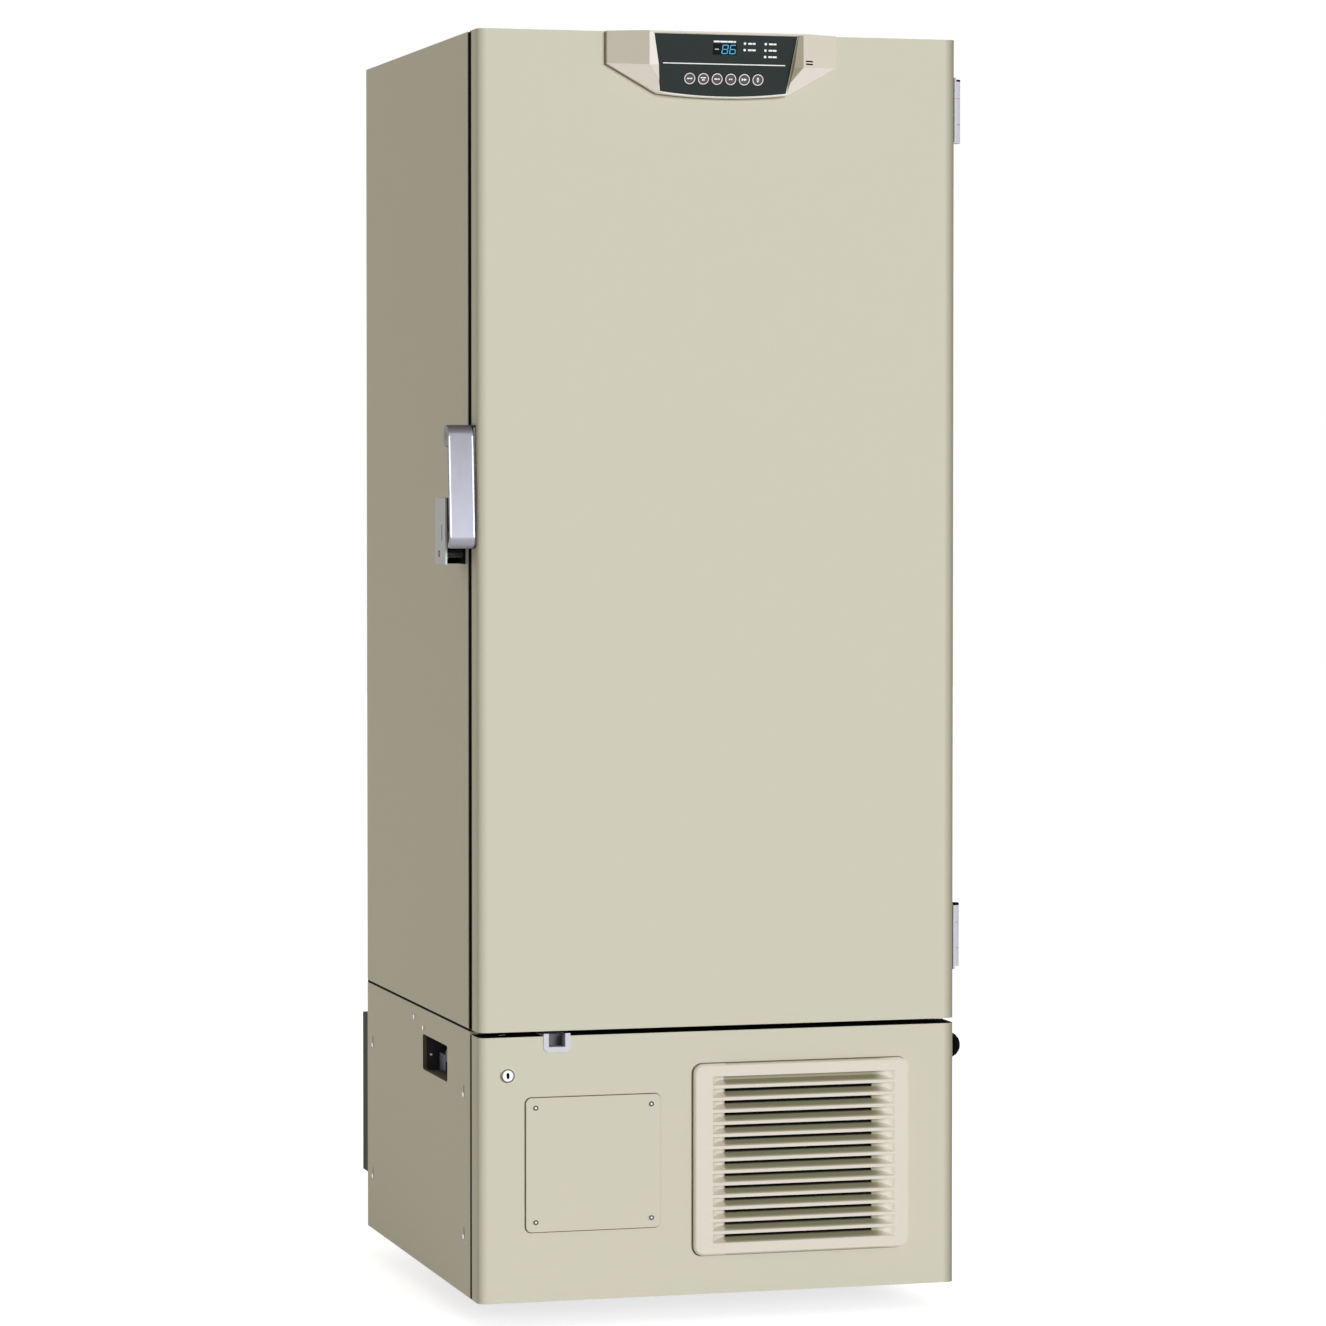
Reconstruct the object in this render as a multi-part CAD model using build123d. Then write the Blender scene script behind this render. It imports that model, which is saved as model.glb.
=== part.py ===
from build123d import *
import math
import os

# Upright freezer: X runs to the right, Y to the back and Z up, in millimetres.
# Shapes are laid out from the cabinet's centre line, the door's front plane and the floor,
# and are moved to the middle of the whole footprint when they are written.

# Cabinet and door
cabinet_width = 770
cabinet_depth = 736
cabinet_top = 1994
door_bottom = 459
door_depth = 50
gasket_gap = 18
edge_radius = 14
sheet = 1.2
touch_gap = 0.3
side_wall = 70
floor_wall = 85
roof_wall = 80
back_wall = 96
liner_sheet = 1.5
strip_depth = 8

# Door back, gasket and inner doors
dyke_height = 14
dyke_inset = 95
gasket_inset = 1
gasket_width = 30
gasket_notch = 6
inner_door_setback = 12
inner_door_depth = 26
inner_door_gap = 4
inner_pin_inset = 8
inner_pin_radius = 2
inner_pin_length = 20
inner_bracket = 3
inner_pull_inset = 14
inner_pull_width = 20
inner_pull_height = 110
inner_pull_depth = 10
inner_field_inset = 45
inner_field_depth = 2

# Shelves and access port
shelf_count = 3
shelf_front_gap = 82
shelf_thickness = 12
shelf_gap = 3
shelf_sheet = 2
shelf_back_gap = 40
ledge_width = 10
ledge_height = 10
port_radius = 12
port_wall = 3
port_flange = 6

# Door hinges on the right side
hinge_height = 100
upper_hinge_drop = 108
lower_hinge_rise = 126
hinge_offset = 14
hinge_setback = 10
hinge_edge = 4
hinge_radius = 12
hinge_pin_radius = 5
hinge_leaf = 3
hinge_leaf_depth = 42
knuckle_gap = 0.5
running_fit = 0.05

# Door lever, latch pawl and strike on the left side
lever_reach = 43
lever_base = 4
lever_share = 0.5954
lever_length = 172
lever_barrel_radius = 17
lever_axis_y = 32
lever_bar = 8
lever_lean = 12
lever_corner = 4
handle_corner = 6
handle_inset = 2
lever_gap = 0.6
lever_pin_radius = 6
pawl_axis_y = 38
pawl_drop = 145
pawl_pin_radius = 4
pawl_boss_radius = 9
pawl_thickness = 4
pawl_hook = 6
pawl_clear = 1.5
pawl_over = 4
pawl_under = 2
roller_y = 92
roller_drop = 181
roller_radius = 6
roller_pin_radius = 2.5
strike_height = 102
strike_drop = 197
strike_depth = 48
strike_setback = 4
strike_guard = 22
strike_sheet = 3
strike_gap = 12
mark_width = 4
mark_height = 25
mark_rise = 20

# Control housing on the door
housing_half = 184
housing_side = 50
housing_height = 100
housing_bottom_half = 105
housing_edge_proud = 10
housing_sag = 6
ridge_half = 123.5
ridge_proud = 35
ridge_drop = 52
face_top_half = 116
face_bottom_half = 102.6
face_trim = 2.5
face_length = 90
face_top_proud = 32
face_bottom_proud = 14
face_thickness = 2.5
face_sag = 6.5
lip_proud = 17
key_count = 6
key_radius = 8.8
key_fit = 0.4
key_proud = 0.8
key_depth = 5
key_rim = 1.3
key_pitch = 21.9
key_row = -24
window_width = 38.4
window_height = 17.4
window_x = -0.9
window_y = 22
lamp_radius = 2
lamp_first_x = 30.8
lamp_pitch_x = 33.5
lamp_first_y = 31.5
lamp_pitch_y = 9.9
lamp_depth = 4
module_depth = 5
module_margin = 3
cavity_depth = 9
cavity_inset = 9
buzzer_x = 134.5
buzzer_drop = 44
buzzer_length = 13
buzzer_height = 1.8
buzzer_pitch = 4.4
board_thickness = 2

# Lower front panel and what it carries
panel_gap = 8
panel_bottom = 42
panel_depth = 50
panel_sheet = 2
grille_left_share = -0.1143
grille_right_share = 0.7922
grille_rise = 60.5
grille_drop = 50.6
grille_radius = 15
grille_rim = 14
grille_proud = 9
grille_back = 12
slot_count = 13
slot_pitch = 18.9
slot_drop = 38.4
slot_height = 6.8
slot_left_inset = 52.8
slot_right_inset = 56.1
scoop_left_inset = 29.5
scoop_right_inset = 22.3
scoop_depth = 14
scoop_height = 14
scoop_bow = 0.35
scoop_hollow = 0.7
plate_left_share = -0.8073
plate_right_share = -0.2504
plate_rise = 108.1
plate_drop = 94.4
plate_radius = 8.5
plate_thickness = 2
screw_inset = 15
screw_radius = 4
screw_head = 1.5
front_screw_inset = 41
rear_screw_inset = 42.5
upper_screw_drop = 102
lower_screw_rise = 90
plain_screw_gap = 60
plain_screw_step = 66
plain_screw_drop = 20
plain_screw_fall = 10
lock_inset = 45
lock_drop = 58.4
lock_radius = 10.5
lock_flange = 1.5
lock_plug_radius = 8
lock_proud = 4
lock_depth = 26
lock_fit = 0.05
keyway_width = 1.8
keyway_height = 8
tongue_half = 3
bolt_width = 10
bolt_thickness = 6
bolt_gap = 0.6
bolt_rise = 18
bolt_y = 34
guide_wall = 5
guide_rise = 9
guide_height = 24
keeper_spare = 4
recess_left_share = -0.7345
recess_width = 42.3
recess_drop = 24.8
recess_radius = 9
recess_rim = 8
recess_depth = 30
recess_proud = 1.5
recess_rise = 4
recess_wall = 2

# Machine compartment
cover_gap = 8
cover_sheet = 1.2
cover_flange = 30
cover_front_flange = 13
bracket_width = 20
bracket_height = 30
cover_top_gap = 4
base_height = 112
base_sheet = 3
post_size = 22
rear_cover_depth = 51
rear_cover_inset = 3
rear_cover_rise = 89
rear_cover_drop = 56
side_window_setback = 153.7
side_window_length = 173.3
side_window_height = 57.2
side_window_drop = 40
side_window_radius = 6
switch_box_depth = 55
switch_box_wall = 2
rocker_width = 40
rocker_height = 26
rocker_axis_inset = 30
rocker_thickness = 14
rocker_pin_radius = 2
ear_sheet = 3
ear_half = 7
ear_gap = 1
bumper_inset = 30
bumper_drop = 45
bumper_radius = 21.5
bumper_height = 38
bumper_neck = 16.5
dome_steps = 4
dome_end = 80
filter_thickness = 8
condenser_depth = 40
condenser_gap = 12
fin_rows = 12
fin_gap = 4
fan_radius = 110
fan_hub_radius = 30
fan_depth = 26
fan_blades = 5
fan_tip_gap = 5
fan_sheet = 2.5
fan_root = 6
fan_pitch_angle = 30
shroud_depth = 36
shroud_wall = 2
shroud_arm = 12
shroud_arm_depth = 4
motor_radius = 38
motor_length = 60
fan_shaft_radius = 5
compressor_radius = 75
compressor_height = 190
compressor_foot = 12
compressor_plate = 4
compressor_pad_radius = 8
compressor_pitch = 250
box_width = 130
box_depth = 200
box_height = 150
box_inset = 30
inlet_width = 50
inlet_height = 30
inlet_depth = 22
inlet_wall = 5

# Casters and levelling feet
wheel_radius = 38
wheel_width = 24
wheel_pin_radius = 5
wheel_edge = 3
caster_trail = 22
caster_stem_radius = 9
caster_plate = 5
fork_sheet = 4
fork_gap = 1
fork_end = 14
fork_crown = 18
crown_gap = 9
caster_plate_half_width = 32
caster_plate_half_depth = 36
caster_collar = 4
collar_height = 3
caster_inset = 100
front_caster_inset = 322
rear_caster_inset = 74
front_caster_lift = 3
foot_setback = 207
foot_radius = 20
foot_height = 12
foot_stem_radius = 7
foot_inset = 105

half_width = cabinet_width / 2
cabinet_front = door_depth + gasket_gap
cabinet_back = cabinet_front + cabinet_depth
chamber_half = half_width - side_wall
chamber_low = door_bottom + floor_wall
chamber_high = cabinet_top - roof_wall
chamber_back = cabinet_back - back_wall
mouth_back = cabinet_front + strip_depth
inner_door_front = cabinet_front + inner_door_setback
inner_door_back = inner_door_front + inner_door_depth
hinge_x = half_width + hinge_offset
hinge_y = cabinet_front - hinge_setback
lever_x = -half_width - lever_reach
right_reach = max(half_width + bumper_height, hinge_x + hinge_radius)
middle_x = (right_reach - half_width - lever_reach) / 2
middle_y = (cabinet_back + rear_cover_depth - ridge_proud) / 2
upper_hinge_z = cabinet_top - upper_hinge_drop
lower_hinge_z = door_bottom + lower_hinge_rise
lever_top_z = door_bottom + lever_share * (cabinet_top - door_bottom)
pawl_axis_z = lever_top_z - pawl_drop
roller_z = lever_top_z - roller_drop
strike_bottom = lever_top_z - strike_drop
buzzer_z = cabinet_top - buzzer_drop
panel_top = door_bottom - panel_gap
grille_left = grille_left_share * half_width
grille_right = grille_right_share * half_width
grille_low = panel_bottom + grille_rise
grille_high = panel_top - grille_drop
slot_top_z = grille_high - slot_drop
slot_left = grille_left + slot_left_inset
slot_right = grille_right - slot_right_inset
scoop_left = grille_left + scoop_left_inset
scoop_right = grille_right - scoop_right_inset
plate_left = plate_left_share * half_width
plate_right = plate_right_share * half_width
plate_low = panel_bottom + plate_rise
plate_high = panel_top - plate_drop
lock_x = -half_width + lock_inset
lock_z = panel_top - lock_drop
recess_left = recess_left_share * half_width
recess_right = recess_left + recess_width
recess_low = panel_top - recess_drop
cover_front = panel_depth + cover_gap
cover_high = door_bottom - cover_top_gap
rear_cover_low = panel_bottom + rear_cover_rise
rear_cover_high = cover_high - rear_cover_drop
window_front = cover_front + side_window_setback
window_back = window_front + side_window_length
window_high = cover_high - side_window_drop
window_low = window_high - side_window_height
bumper_y = cover_front + bumper_inset
bumper_z = panel_top - bumper_drop
caster_x = half_width - caster_inset
front_caster_y = cover_front + front_caster_inset
rear_caster_y = cabinet_back - rear_caster_inset
foot_x = half_width - foot_inset
foot_y = cover_front + foot_setback


def block(x0, x1, y0, y1, z0, z1):
    """A rectangular block between two corners."""
    place = Pos((x0 + x1) / 2, (y0 + y1) / 2, (z0 + z1) / 2)
    return place * Box(x1 - x0, y1 - y0, z1 - z0)


def rod_x(x0, x1, y, z, radius):
    """A round bar along X."""
    return Pos((x0 + x1) / 2, y, z) * Rot(0, 90, 0) * Cylinder(radius, x1 - x0)


def rod_y(x, y0, y1, z, radius):
    """A round bar along Y."""
    return Pos(x, (y0 + y1) / 2, z) * Rot(90, 0, 0) * Cylinder(radius, y1 - y0)


def rod_z(x, y, z0, z1, radius):
    """A round bar along Z."""
    return Pos(x, y, (z0 + z1) / 2) * Cylinder(radius, z1 - z0)


def rounded_front(x0, x1, y0, y1, z0, z1, radius):
    """A block with its two upright front edges rounded."""
    solid = block(x0, x1, y0, y1, z0, z1)
    uprights = solid.edges().filter_by(Axis.Z).sort_by(Axis.Y)[:2]
    return fillet(uprights, radius)


def plate_xz(x0, x1, y0, y1, z0, z1, radius):
    """A plate facing the front with four rounded corners."""
    solid = block(x0, x1, y0, y1, z0, z1)
    return fillet(solid.edges().filter_by(Axis.Y), radius)


def prism_x(points, x0, x1):
    """A prism along X from (y, z) points."""
    face = Plane.YZ * make_face(Polyline(*points, close=True))
    return Pos(x0, 0, 0) * extrude(face, x1 - x0, dir=(1, 0, 0))


def prism_z(points, z0, z1):
    """A prism along Z from (x, y) points."""
    wire = Polyline(*[(x, y, z0) for x, y in points], close=True)
    return extrude(make_face(wire), z1 - z0, dir=(0, 0, 1))


def group(shapes):
    """Several separate solids kept together."""
    solids = []
    for shape in shapes:
        solids.extend(shape.solids())
    return Compound(children=solids)


def save(name, shape):
    """Writes one piece, moved to the shared origin."""
    solids = (Pos(-middle_x, -middle_y, 0) * shape).solids()
    if len(solids) == 1:
        export_step(solids[0], f"parts/{name}.step")
    else:
        export_step(Compound(children=list(solids)), f"parts/{name}.step")


# Door skin, insulation, back panel and gasket

def keeper_pocket():
    """The space in the door's bottom edge that the lock bolt rises into."""
    reach = bolt_width / 2 + bolt_gap
    depth = bolt_thickness / 2 + bolt_gap
    return block(lock_x - reach, lock_x + reach, bolt_y - depth, bolt_y + depth,
                 door_bottom - 1, door_bottom + bolt_rise + keeper_spare)


def door_skin():
    pan = rounded_front(-half_width, half_width, 0, door_depth, door_bottom, cabinet_top, edge_radius)
    hollow = rounded_front(-half_width + sheet, half_width - sheet, sheet, door_depth + 1,
                           door_bottom + sheet, cabinet_top - sheet, edge_radius - sheet)
    return pan - hollow - keeper_pocket()


def dyke(shrink, y0, y1):
    """The raised middle of the door's back panel, made smaller by a sheet thickness."""
    reach = half_width - dyke_inset - shrink
    edge = dyke_inset + shrink
    return block(-reach, reach, y0, y1, door_bottom + edge, cabinet_top - edge)


def door_insulation():
    foam = rounded_front(-half_width + sheet, half_width - sheet, sheet, door_depth - liner_sheet,
                         door_bottom + sheet, cabinet_top - sheet, edge_radius - sheet)
    raised = dyke(liner_sheet, door_depth - liner_sheet - 1, door_depth + dyke_height - liner_sheet)
    return foam + raised - keeper_pocket()


def door_inner_panel():
    reach = half_width - sheet
    back = block(-reach, reach, door_depth - liner_sheet, door_depth,
                 door_bottom + sheet, cabinet_top - sheet)
    raised = dyke(0, door_depth - liner_sheet, door_depth + dyke_height)
    inside = dyke(liner_sheet, door_depth - liner_sheet - 1, door_depth + dyke_height - liner_sheet)
    return back + raised - inside


def door_gasket():
    outer = half_width - gasket_inset
    inner = outer - gasket_width
    low = door_bottom + gasket_inset
    high = cabinet_top - gasket_inset
    back = cabinet_front - touch_gap
    ring = block(-outer, outer, door_depth, back, low, high)
    hole = block(-inner, inner, door_depth - 1, back + 1, low + gasket_width, high - gasket_width)
    middle = (door_depth + back) / 2
    half_notch = gasket_notch / 2
    notch_outer = block(-half_width, half_width, middle - half_notch, middle + half_notch,
                        door_bottom, cabinet_top)
    notch_inner = block(-outer + gasket_notch, outer - gasket_notch, door_depth, back,
                        low + gasket_notch, high - gasket_notch)
    return ring - hole - (notch_outer - notch_inner)


# Control housing, dark face, keys and electronics on the door

face_angle = math.atan2(face_top_proud - face_bottom_proud, face_length)
face_run = math.hypot(face_top_proud - face_bottom_proud, face_length)
face_mid_y = -(face_top_proud + face_bottom_proud) / 2
face_mid_z = cabinet_top - face_trim - face_length / 2
face_plane = Plane(origin=(0, face_mid_y, face_mid_z), x_dir=(1, 0, 0),
                   z_dir=(0, -math.cos(face_angle), -math.sin(face_angle)))


def on_face(shape):
    """Places a shape drawn flat, with +Z outwards, on the tilted dark face."""
    return face_plane.location * shape


def face_outline(low, high):
    """The dark face's outline as a slab between two heights over the face."""
    top = face_run / 2
    sides = Polyline((-face_bottom_half, -top, low), (-face_top_half, top, low),
                     (face_top_half, top, low), (face_bottom_half, -top, low))
    curve = ThreePointArc((face_bottom_half, -top, low), (0, -top - face_sag, low),
                          (-face_bottom_half, -top, low))
    return extrude(make_face(sides + curve), high - low, dir=(0, 0, 1))


def face_cavity(low, high):
    """The shallow space behind the dark face."""
    width = 2 * (face_bottom_half - cavity_inset)
    return Pos(0, 0, (low + high) / 2) * Box(width, face_run - 2 * cavity_inset, high - low)


def control_housing():
    side_z = cabinet_top - housing_side
    low_z = cabinet_top - housing_height + housing_sag
    edge = Polyline((-housing_bottom_half, 0, low_z), (-housing_half, 0, side_z),
                    (-housing_half, 0, cabinet_top), (housing_half, 0, cabinet_top),
                    (housing_half, 0, side_z), (housing_bottom_half, 0, low_z))
    curve = ThreePointArc((housing_bottom_half, 0, low_z), (0, 0, low_z - housing_sag),
                          (-housing_bottom_half, 0, low_z))
    body = extrude(make_face(edge + curve), ridge_proud, dir=(0, -1, 0))
    plan = [(-housing_half, 0), (-housing_half, -housing_edge_proud), (-ridge_half, -ridge_proud),
            (ridge_half, -ridge_proud), (housing_half, -housing_edge_proud), (housing_half, 0)]
    body = body & prism_z(plan, low_z - housing_height, cabinet_top)
    lip_z = cabinet_top - face_trim - face_length
    profile = [(0, cabinet_top), (-ridge_proud, cabinet_top), (-ridge_proud, cabinet_top - ridge_drop),
               (-lip_proud, lip_z), (-housing_edge_proud, low_z - housing_sag), (0, low_z - housing_sag)]
    body = body & prism_x(profile, -housing_half, housing_half)
    for sign in (-1, 1):
        ridge = Vector(sign * ridge_half, -ridge_proud, cabinet_top - ridge_drop)
        outer = Vector(sign * housing_half, -housing_edge_proud, side_z)
        lower = Vector(sign * housing_bottom_half, -housing_edge_proud, low_z)
        normal = (outer - ridge).cross(lower - ridge) * -sign
        size = 4 * housing_half
        body -= Plane(origin=ridge, z_dir=normal).location * Pos(0, 0, size / 2) * Box(size, size, size)
    body -= on_face(face_outline(-face_thickness, ridge_proud))
    body -= on_face(face_cavity(-face_thickness - cavity_depth, 0))
    for row in (-0.5, 0.5):
        z = buzzer_z + row * buzzer_pitch
        body -= block(buzzer_x - buzzer_length / 2, buzzer_x + buzzer_length / 2, -ridge_proud - 1,
                      -ridge_proud + housing_edge_proud, z - buzzer_height / 2, z + buzzer_height / 2)
    return body


def key_places():
    first = -key_pitch * (key_count - 1) / 2
    return [(first + key_pitch * number, key_row) for number in range(key_count)]


def lamp_places():
    left = [(lamp_first_x, lamp_first_y - lamp_pitch_y * row) for row in range(2)]
    right = [(lamp_first_x + lamp_pitch_x, lamp_first_y - lamp_pitch_y * row) for row in range(3)]
    return left + right


def display_panel():
    slab = face_outline(-face_thickness, 0)
    slab -= Pos(window_x, window_y, 0) * Box(window_width, window_height, 4 * face_thickness)
    for x, y in key_places():
        slab -= Pos(x, y, 0) * Cylinder(key_radius + key_fit, 4 * face_thickness)
    for x, y in lamp_places():
        slab -= Pos(x, y, 0) * Cylinder(lamp_radius, 4 * face_thickness)
    return on_face(slab)


def display_module():
    """The circuit board and the digit display, with its glass in the face's window."""
    glass = Pos(window_x, window_y, -face_thickness / 2) * Box(window_width, window_height, face_thickness)
    case = Pos(window_x, window_y, -face_thickness - module_depth / 2)
    margin = 2 * module_margin
    shown = glass + case * Box(window_width + margin, window_height + margin, module_depth)
    back = -face_thickness - cavity_depth
    board = face_cavity(back, back + board_thickness)
    return group([on_face(shown), on_face(board)])


def indicator_lamps():
    lamps = []
    for x, y in lamp_places():
        lamp = Pos(x, y, -lamp_depth / 2) * Cylinder(lamp_radius, lamp_depth)
        lamps.append(on_face(lamp))
    return group(lamps)


def control_key(number):
    """One round key with a shallow dish in its cap."""
    x, y = key_places()[number]
    cap = Pos(x, y, (key_proud - key_depth) / 2) * Cylinder(key_radius, key_proud + key_depth)
    dish = Pos(x, y, key_proud) * Cylinder(key_radius - key_rim, key_proud)
    return on_face(cap - dish)


# Lever, pawl and strike on the left side

base_face = -half_width - lever_base
lever_inner = base_face - lever_gap
pawl_outer = lever_x + strike_sheet + strike_gap
pawl_inner = pawl_outer + pawl_thickness


def handle_base():
    """The plate on the door's side, with the pivot pins of the lever and the pawl."""
    front = lever_axis_y - lever_barrel_radius
    low = lever_top_z - lever_length
    plate = block(base_face, -half_width, front, door_depth - handle_inset, low,
                  lever_top_z + lever_barrel_radius)
    plate = fillet(plate.edges().filter_by(Axis.X), handle_corner)
    boss = rod_x(pawl_inner + lever_gap, -half_width, pawl_axis_y, pawl_axis_z, pawl_boss_radius)
    top_pin = rod_x(lever_x, -half_width, lever_axis_y, lever_top_z, lever_pin_radius)
    low_pin = rod_x(pawl_outer, -half_width, pawl_axis_y, pawl_axis_z, pawl_pin_radius)
    return plate + boss + top_pin + low_pin


def door_lever():
    """A flat bar that hangs from a barrel, leans forward and curls back at its lower end."""
    upper = lever_axis_y - lever_barrel_radius
    front = upper - lever_lean
    low = lever_top_z - lever_length
    curl = lever_barrel_radius
    barrel = rod_x(lever_x, lever_inner, lever_axis_y, lever_top_z, lever_barrel_radius)
    bar = prism_x([(upper, lever_top_z), (upper + lever_bar, lever_top_z), (front + lever_bar, low + curl),
                   (front, low + curl)], lever_x, lever_inner)
    ring = rod_x(lever_x, lever_inner, front + curl, low + curl, curl)
    ring -= rod_x(lever_x - 1, lever_inner + 1, front + curl, low + curl, curl - lever_bar)
    ring = ring & block(lever_x, lever_inner, front, front + curl, low, low + curl)
    hole = rod_x(lever_x - 1, lever_inner + 1, lever_axis_y, lever_top_z, lever_pin_radius + running_fit)
    outline = block(lever_x, lever_inner, front, lever_axis_y + lever_barrel_radius, low,
                    lever_top_z + lever_barrel_radius)
    lower = outline.edges().filter_by(Axis.Y).sort_by(Axis.Z)[:2]
    return (barrel + bar + ring - hole) & fillet(lower, lever_corner)


def latch_pawl():
    """The hook that drops behind the strike roller."""
    back = roller_y + roller_radius + pawl_clear
    under = roller_z + roller_radius + pawl_over
    tip = roller_z - roller_radius - pawl_under
    arm = prism_x([(pawl_axis_y, pawl_axis_z + pawl_boss_radius),
                   (pawl_axis_y, pawl_axis_z - pawl_boss_radius),
                   (roller_y - roller_radius, under), (back, under), (back, tip), (back + pawl_hook, tip),
                   (back + pawl_hook, under + 2 * pawl_boss_radius)], pawl_outer, pawl_inner)
    boss = rod_x(pawl_outer, pawl_inner, pawl_axis_y, pawl_axis_z, pawl_boss_radius)
    hole = rod_x(pawl_outer - 1, pawl_inner + 1, pawl_axis_y, pawl_axis_z, pawl_pin_radius + running_fit)
    return arm + boss - hole


def strike_bracket():
    """A channel on the cabinet's side, open to the front, with a cross pin for the roller."""
    front = cabinet_front + strike_setback
    back = front + strike_depth
    top = strike_bottom + strike_height
    solid = block(lever_x + strike_sheet, -half_width, front, back, strike_bottom, top)
    inside = block(lever_x + 2 * strike_sheet, -half_width - strike_sheet, front - 1, back - strike_sheet,
                   strike_bottom - 1, top + 1)
    guard = block(lever_x + strike_sheet, lever_x + 2 * strike_sheet, front - strike_guard, front,
                  strike_bottom, top)
    mark_low = roller_z + mark_rise
    mark = block(lever_x, lever_x + 2 * strike_sheet + touch_gap, front, front + mark_width,
                 mark_low, mark_low + mark_height)
    pin = rod_x(lever_x + strike_sheet, -half_width, roller_y, roller_z, roller_pin_radius)
    return solid - inside + guard - mark + pin


def strike_roller():
    outer = lever_x + 2 * strike_sheet + lever_gap
    inner = -half_width - strike_sheet - lever_gap
    tube = rod_x(outer, inner, roller_y, roller_z, roller_radius)
    return tube - rod_x(lever_x, -half_width, roller_y, roller_z, roller_pin_radius + running_fit)


# Door hinges on the right side

hinge_middles = (lower_hinge_z, upper_hinge_z)
door_knuckle = 0.4 * hinge_height


def door_hinge_leaves():
    leaves = []
    for middle in hinge_middles:
        low = middle - door_knuckle / 2
        high = middle + door_knuckle / 2
        edge = door_depth - hinge_edge
        leaf = block(half_width, half_width + hinge_leaf, door_depth - hinge_leaf_depth, edge,
                     middle - hinge_height / 2, middle + hinge_height / 2)
        arm = prism_z([(half_width, edge - hinge_radius), (hinge_x, hinge_y - hinge_radius),
                       (hinge_x, hinge_y), (half_width, edge)], low, high)
        barrel = rod_z(hinge_x, hinge_y, low, high, hinge_radius)
        hole = rod_z(hinge_x, hinge_y, low - 1, high + 1, hinge_pin_radius + running_fit)
        leaves.append(leaf + arm + barrel - hole)
    return group(leaves)


def cabinet_hinges():
    leaves = []
    for middle in hinge_middles:
        low = middle - hinge_height / 2
        high = middle + hinge_height / 2
        edge = cabinet_front + touch_gap
        leaf = block(half_width, half_width + hinge_leaf, edge, cabinet_front + hinge_leaf_depth, low, high)
        arm = prism_z([(half_width, edge), (hinge_x, hinge_y), (hinge_x, hinge_y + hinge_radius),
                       (half_width, edge + hinge_radius)], low, high)
        barrel = rod_z(hinge_x, hinge_y, low, high, hinge_radius)
        gap = rod_z(hinge_x, hinge_y, middle - door_knuckle / 2 - knuckle_gap,
                    middle + door_knuckle / 2 + knuckle_gap, 2 * hinge_radius)
        pin = rod_z(hinge_x, hinge_y, low, high, hinge_pin_radius)
        leaves.append((leaf + arm + barrel) - gap + pin)
    return group(leaves)


# Cabinet: shell, insulation, liner, front strip and what stands in the chamber

chamber_middle = (chamber_low + chamber_high) / 2
shelf_pitch = (chamber_high - chamber_low) / (shelf_count + 1)
port_x = chamber_half * 0.6
port_z = cabinet_top - 3 * roof_wall


def port_hole(radius):
    return rod_y(port_x, chamber_back - liner_sheet - 1, cabinet_back + 1, port_z, radius)


def cabinet_shell():
    outer = block(-half_width, half_width, cabinet_front, cabinet_back, door_bottom, cabinet_top)
    inner = block(-half_width + sheet, half_width - sheet, cabinet_front - 1, cabinet_back - sheet,
                  door_bottom + sheet, cabinet_top - sheet)
    return outer - inner - port_hole(port_radius + port_wall)


def liner_outside():
    reach = chamber_half + liner_sheet
    return block(-reach, reach, mouth_back, chamber_back + liner_sheet,
                 chamber_low - liner_sheet, chamber_high + liner_sheet)


def cabinet_insulation():
    foam = block(-half_width + sheet, half_width - sheet, mouth_back, cabinet_back - sheet,
                 door_bottom + sheet, cabinet_top - sheet)
    return foam - liner_outside() - port_hole(port_radius + port_wall)


def inner_liner():
    chamber = block(-chamber_half, chamber_half, mouth_back - 1, chamber_back, chamber_low, chamber_high)
    return liner_outside() - chamber - port_hole(port_radius + port_wall)


def breaker_strip():
    ring = block(-half_width + sheet, half_width - sheet, cabinet_front, mouth_back,
                 door_bottom + sheet, cabinet_top - sheet)
    mouth = block(-chamber_half, chamber_half, cabinet_front - 1, mouth_back + 1, chamber_low, chamber_high)
    return ring - mouth


def access_port():
    """A sleeve through the back wall with a flange outside, and its plug."""
    tube = rod_y(port_x, chamber_back, cabinet_back, port_z, port_radius + port_wall)
    flange = rod_y(port_x, cabinet_back, cabinet_back + port_flange, port_z, 2 * port_radius)
    outside = cabinet_back + port_flange
    sleeve = tube + flange - rod_y(port_x, chamber_back - 1, outside + 1, port_z, port_radius)
    plug = rod_y(port_x, cabinet_back - back_wall / 2, outside, port_z, port_radius)
    plug += rod_y(port_x, outside, outside + port_flange, port_z, 1.6 * port_radius)
    return group([sleeve, plug])


def shelf_top(number):
    return chamber_low + shelf_pitch * (number + 1)


shelf_front = inner_door_back + shelf_front_gap
shelf_back = chamber_back - shelf_back_gap


def shelves():
    """Flat pans that lie on ledges along the liner."""
    reach = chamber_half - shelf_gap
    pans = []
    for number in range(shelf_count):
        top = shelf_top(number)
        pan = block(-reach, reach, shelf_front, shelf_back, top - shelf_thickness, top)
        inside = block(-reach + 2 * ledge_width, reach - 2 * ledge_width,
                       shelf_front + shelf_sheet, shelf_back - shelf_sheet,
                       top - shelf_thickness - 1, top - shelf_sheet)
        pans.append(pan - inside)
        for side in (-1, 1):
            edge = side * chamber_half
            x0, x1 = sorted((edge, edge - side * (ledge_width + shelf_gap)))
            pans.append(block(x0, x1, shelf_front, shelf_back, top - shelf_thickness - ledge_height,
                              top - shelf_thickness))
    return group(pans)


# Inner doors

inner_pin_x = chamber_half - inner_pin_inset
inner_pin_y = inner_door_front + 2 * inner_pin_radius


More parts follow.
